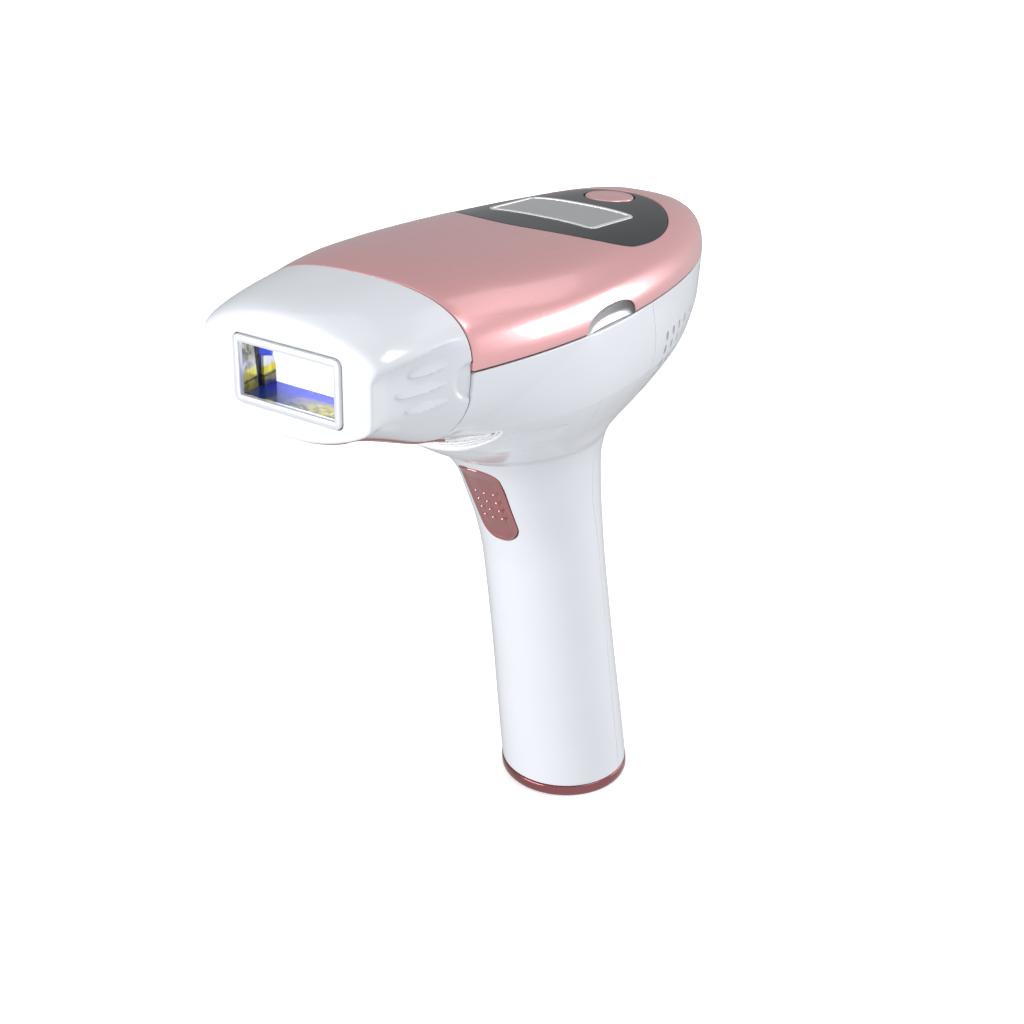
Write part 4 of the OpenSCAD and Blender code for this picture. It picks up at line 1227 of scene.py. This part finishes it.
SAME_LOOK = {
    "handle_board": "display_board", "trigger_switch": "power_switch", "dc_jack": "power_switch",
    "power_transistor": "power_switch", "fan_motor": "pulse_transformer", "fan_rotor": "fan_frame",
    "cartridge_frame": "lamp_socket", "trigger_bracket": "lamp_socket", "cartridge_pins": "socket_contacts",
    "board_screws": "socket_screws",
}
for name in frame["nodes"]:
    look = NODE_LOOKS.get(SAME_LOOK.get(name, name))
    if look:
        frame["nodes"][name].data.materials.clear()
        frame["nodes"][name].data.materials.append(look)


def mount(obj, body, slot_name, look, *nodes):
    """Puts a finished piece on its body, with its finish and the CAD nodes that it stands for."""
    obj.data.materials.clear()
    obj.data.materials.append(look)
    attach(obj, body)
    if nodes:
        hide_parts(*nodes)


mount(front_shell, "housing", "white_gloss", WHITE, "front_shell")
mount(rear_shell, "housing", "white_gloss", WHITE, "rear_shell")
mount(top_cover, "housing", "rose_metal", ROSE, "top_cover")
mount(seam_shade_piece, "housing", "rose_metal", JOINT_SHADE)
mount(nose_shade_piece, "housing", "rose_metal", JOINT_SHADE)
mount(accent_left, "housing", "satin_chrome", PAINTED_REFLECTION_CHROME, "side_accent_left")
mount(accent_right, "housing", "satin_chrome", PAINTED_REFLECTION_CHROME, "side_accent_right")
mount(display_panel, "housing", "panel_dark", PANEL, "display_panel")
mount(lcd_frame, "housing", "silver_trim", TRIM, "lcd_frame")
mount(lcd_lens, "housing", "lens_clear", LENS, "lcd_lens")
mount(power_button, "power_key", "rose_metal", ROSE, "power_button")
mount(nose_housing, "lamp_cartridge", "white_gloss", WHITE, "nose_housing")
mount(window_bezel, "lamp_cartridge", "bezel_grey", BEZEL, "window_bezel")
mount(filter_glass, "lamp_cartridge", "filter_blue", GLASS, "filter_glass")
mount(well_left, "lamp_cartridge", "quartz_clear", WELL_SIDE, "light_guide")
mount(well_right, "lamp_cartridge", "quartz_clear", WELL_SIDE)
mount(well_floor, "lamp_cartridge", "quartz_clear", WELL_FLOOR)
mount(well_roof, "lamp_cartridge", "quartz_clear", WELL_FLOOR)
mount(well_prism, "lamp_cartridge", "quartz_clear", PRISM)
mount(well_back, "lamp_cartridge", "quartz_clear", WELL_BACK_GLOW)
mount(nose_strip, "lamp_cartridge", "rose_metal", COPPER, "nose_underplate")
mount(head_strip, "housing", "rose_metal", COPPER, "head_underplate")
for piece in grille:
    mount(piece, "housing", "grille_white", GRILLE, *(["intake_grille"] if piece is grille[0] else []))
mount(intake_screen, "housing", "fan_black", SCREEN)
mount(trigger_parts[0], "trigger", "copper_metal", COPPER, "trigger_button")
mount(trigger_parts[1], "trigger", "copper_metal", COPPER)
mount(base_ring, "housing", "copper_metal", RING, "base_ring")

# ---------------------------------------------------------------- stage, light and camera
floor_mesh = bpy.data.meshes.new("floor")
reach = 3.0
floor_corners = [(-reach, -reach, 0), (reach, -reach, 0), (reach, reach, 0), (-reach, reach, 0)]
floor_mesh.from_pydata(floor_corners, [], [(0, 1, 2, 3)])
floor = bpy.data.objects.new("floor", floor_mesh)
bpy.context.scene.collection.objects.link(floor)
floor.location.z = -0.0002
floor.visible_diffuse = False
floor.visible_glossy = False
FLOOR = material("floor_pale", (0.93, 0.93, 0.935), 0.7, vary=0.003,
                 Emission_Strength=0.34, Emission_Color=(1, 1, 1, 1))
floor_mesh.materials.append(FLOOR)

world = bpy.data.worlds.new("studio")
bpy.context.scene.world = world
world.use_nodes = True
sky = world.node_tree
toward = add_node(sky, "VectorMath", Vector=add_node(sky, "TexCoord").outputs["Generated"])
toward.operation = "DOT_PRODUCT"
toward.inputs[1].default_value = (0.8, -0.45, -0.4)
glow = add_node(sky, "MapRange", From_Min=-1, From_Max=1, To_Min=0.34, To_Max=0.95, Value=toward.outputs["Value"])
feed(sky, sky.nodes["Background"], Color=(0.97, 0.98, 1.0, 1), Strength=glow.outputs["Result"])


def area_light(name, at, target, width, height, power, spread=180):
    """Soft box at a place, turned to a target; places and sizes in metres, power in watts."""
    data = bpy.data.lights.new(name, "AREA")
    data.shape, data.size, data.size_y, data.energy = "RECTANGLE", width, height, power
    data.spread = math.radians(spread)
    lamp = bpy.data.objects.new(name, data)
    bpy.context.scene.collection.objects.link(lamp)
    lamp.location = at
    lamp.rotation_mode = "QUATERNION"
    lamp.rotation_quaternion = (Vector(target) - Vector(at)).to_track_quat("-Z", "Y")
    return lamp


HEAD = (0, -0.02, 0.16)
area_light("overhead", (-0.3, 0.1, 0.95), HEAD, 0.6, 0.6, 0.6)
area_light("front_left", (-0.42, -0.95, 0.3), HEAD, 0.6, 0.6, 9.0)
area_light("right_high", (0.4, 0.1, 0.82), HEAD, 0.3, 0.3, 1.5)
area_light("rear_top", (0.135, 0.61, 0.79), HEAD, 0.5, 0.4, 0.4)
area_light("right_strip", (0.53, 0.54, 0.22), HEAD, 0.5, 0.36, 2.6)
backdrop = area_light("backdrop", (-0.85, 1.25, 0.9), (-0.65, 0.85, 0), 1.2, 0.9, 8.0, 80)
backdrop.visible_glossy = False

# camera's place, compass angle, height angle and roll; focal length in widths of 1024
CAMERA_AT = np.array([263.66, -373.59, 345.28]) * MM
AZIMUTH, ELEVATION, ROLL, FOCAL = math.radians(36.9), math.radians(28.771), math.radians(-2.6065), 1703.42
sa, ca, se, ce = math.sin(AZIMUTH), math.cos(AZIMUTH), math.sin(ELEVATION), math.cos(ELEVATION)
back = Vector((sa * ce, -ca * ce, se))
right = Vector((ca, sa, 0))
up = back.cross(right)
tilted_right = right * math.cos(ROLL) + up * math.sin(ROLL)
tilted_up = -right * math.sin(ROLL) + up * math.cos(ROLL)
camera_data = bpy.data.cameras.new("camera")
camera_data.sensor_width = 36.0
camera_data.lens = FOCAL * 36.0 / 1024
camera = bpy.data.objects.new("camera", camera_data)
bpy.context.scene.collection.objects.link(camera)
camera.matrix_world = Matrix((
    (tilted_right.x, tilted_up.x, back.x, CAMERA_AT[0]),
    (tilted_right.y, tilted_up.y, back.y, CAMERA_AT[1]),
    (tilted_right.z, tilted_up.z, back.z, CAMERA_AT[2]),
    (0, 0, 0, 1),
))
bpy.context.scene.camera = camera
bpy.context.scene.view_settings.view_transform = "Standard"
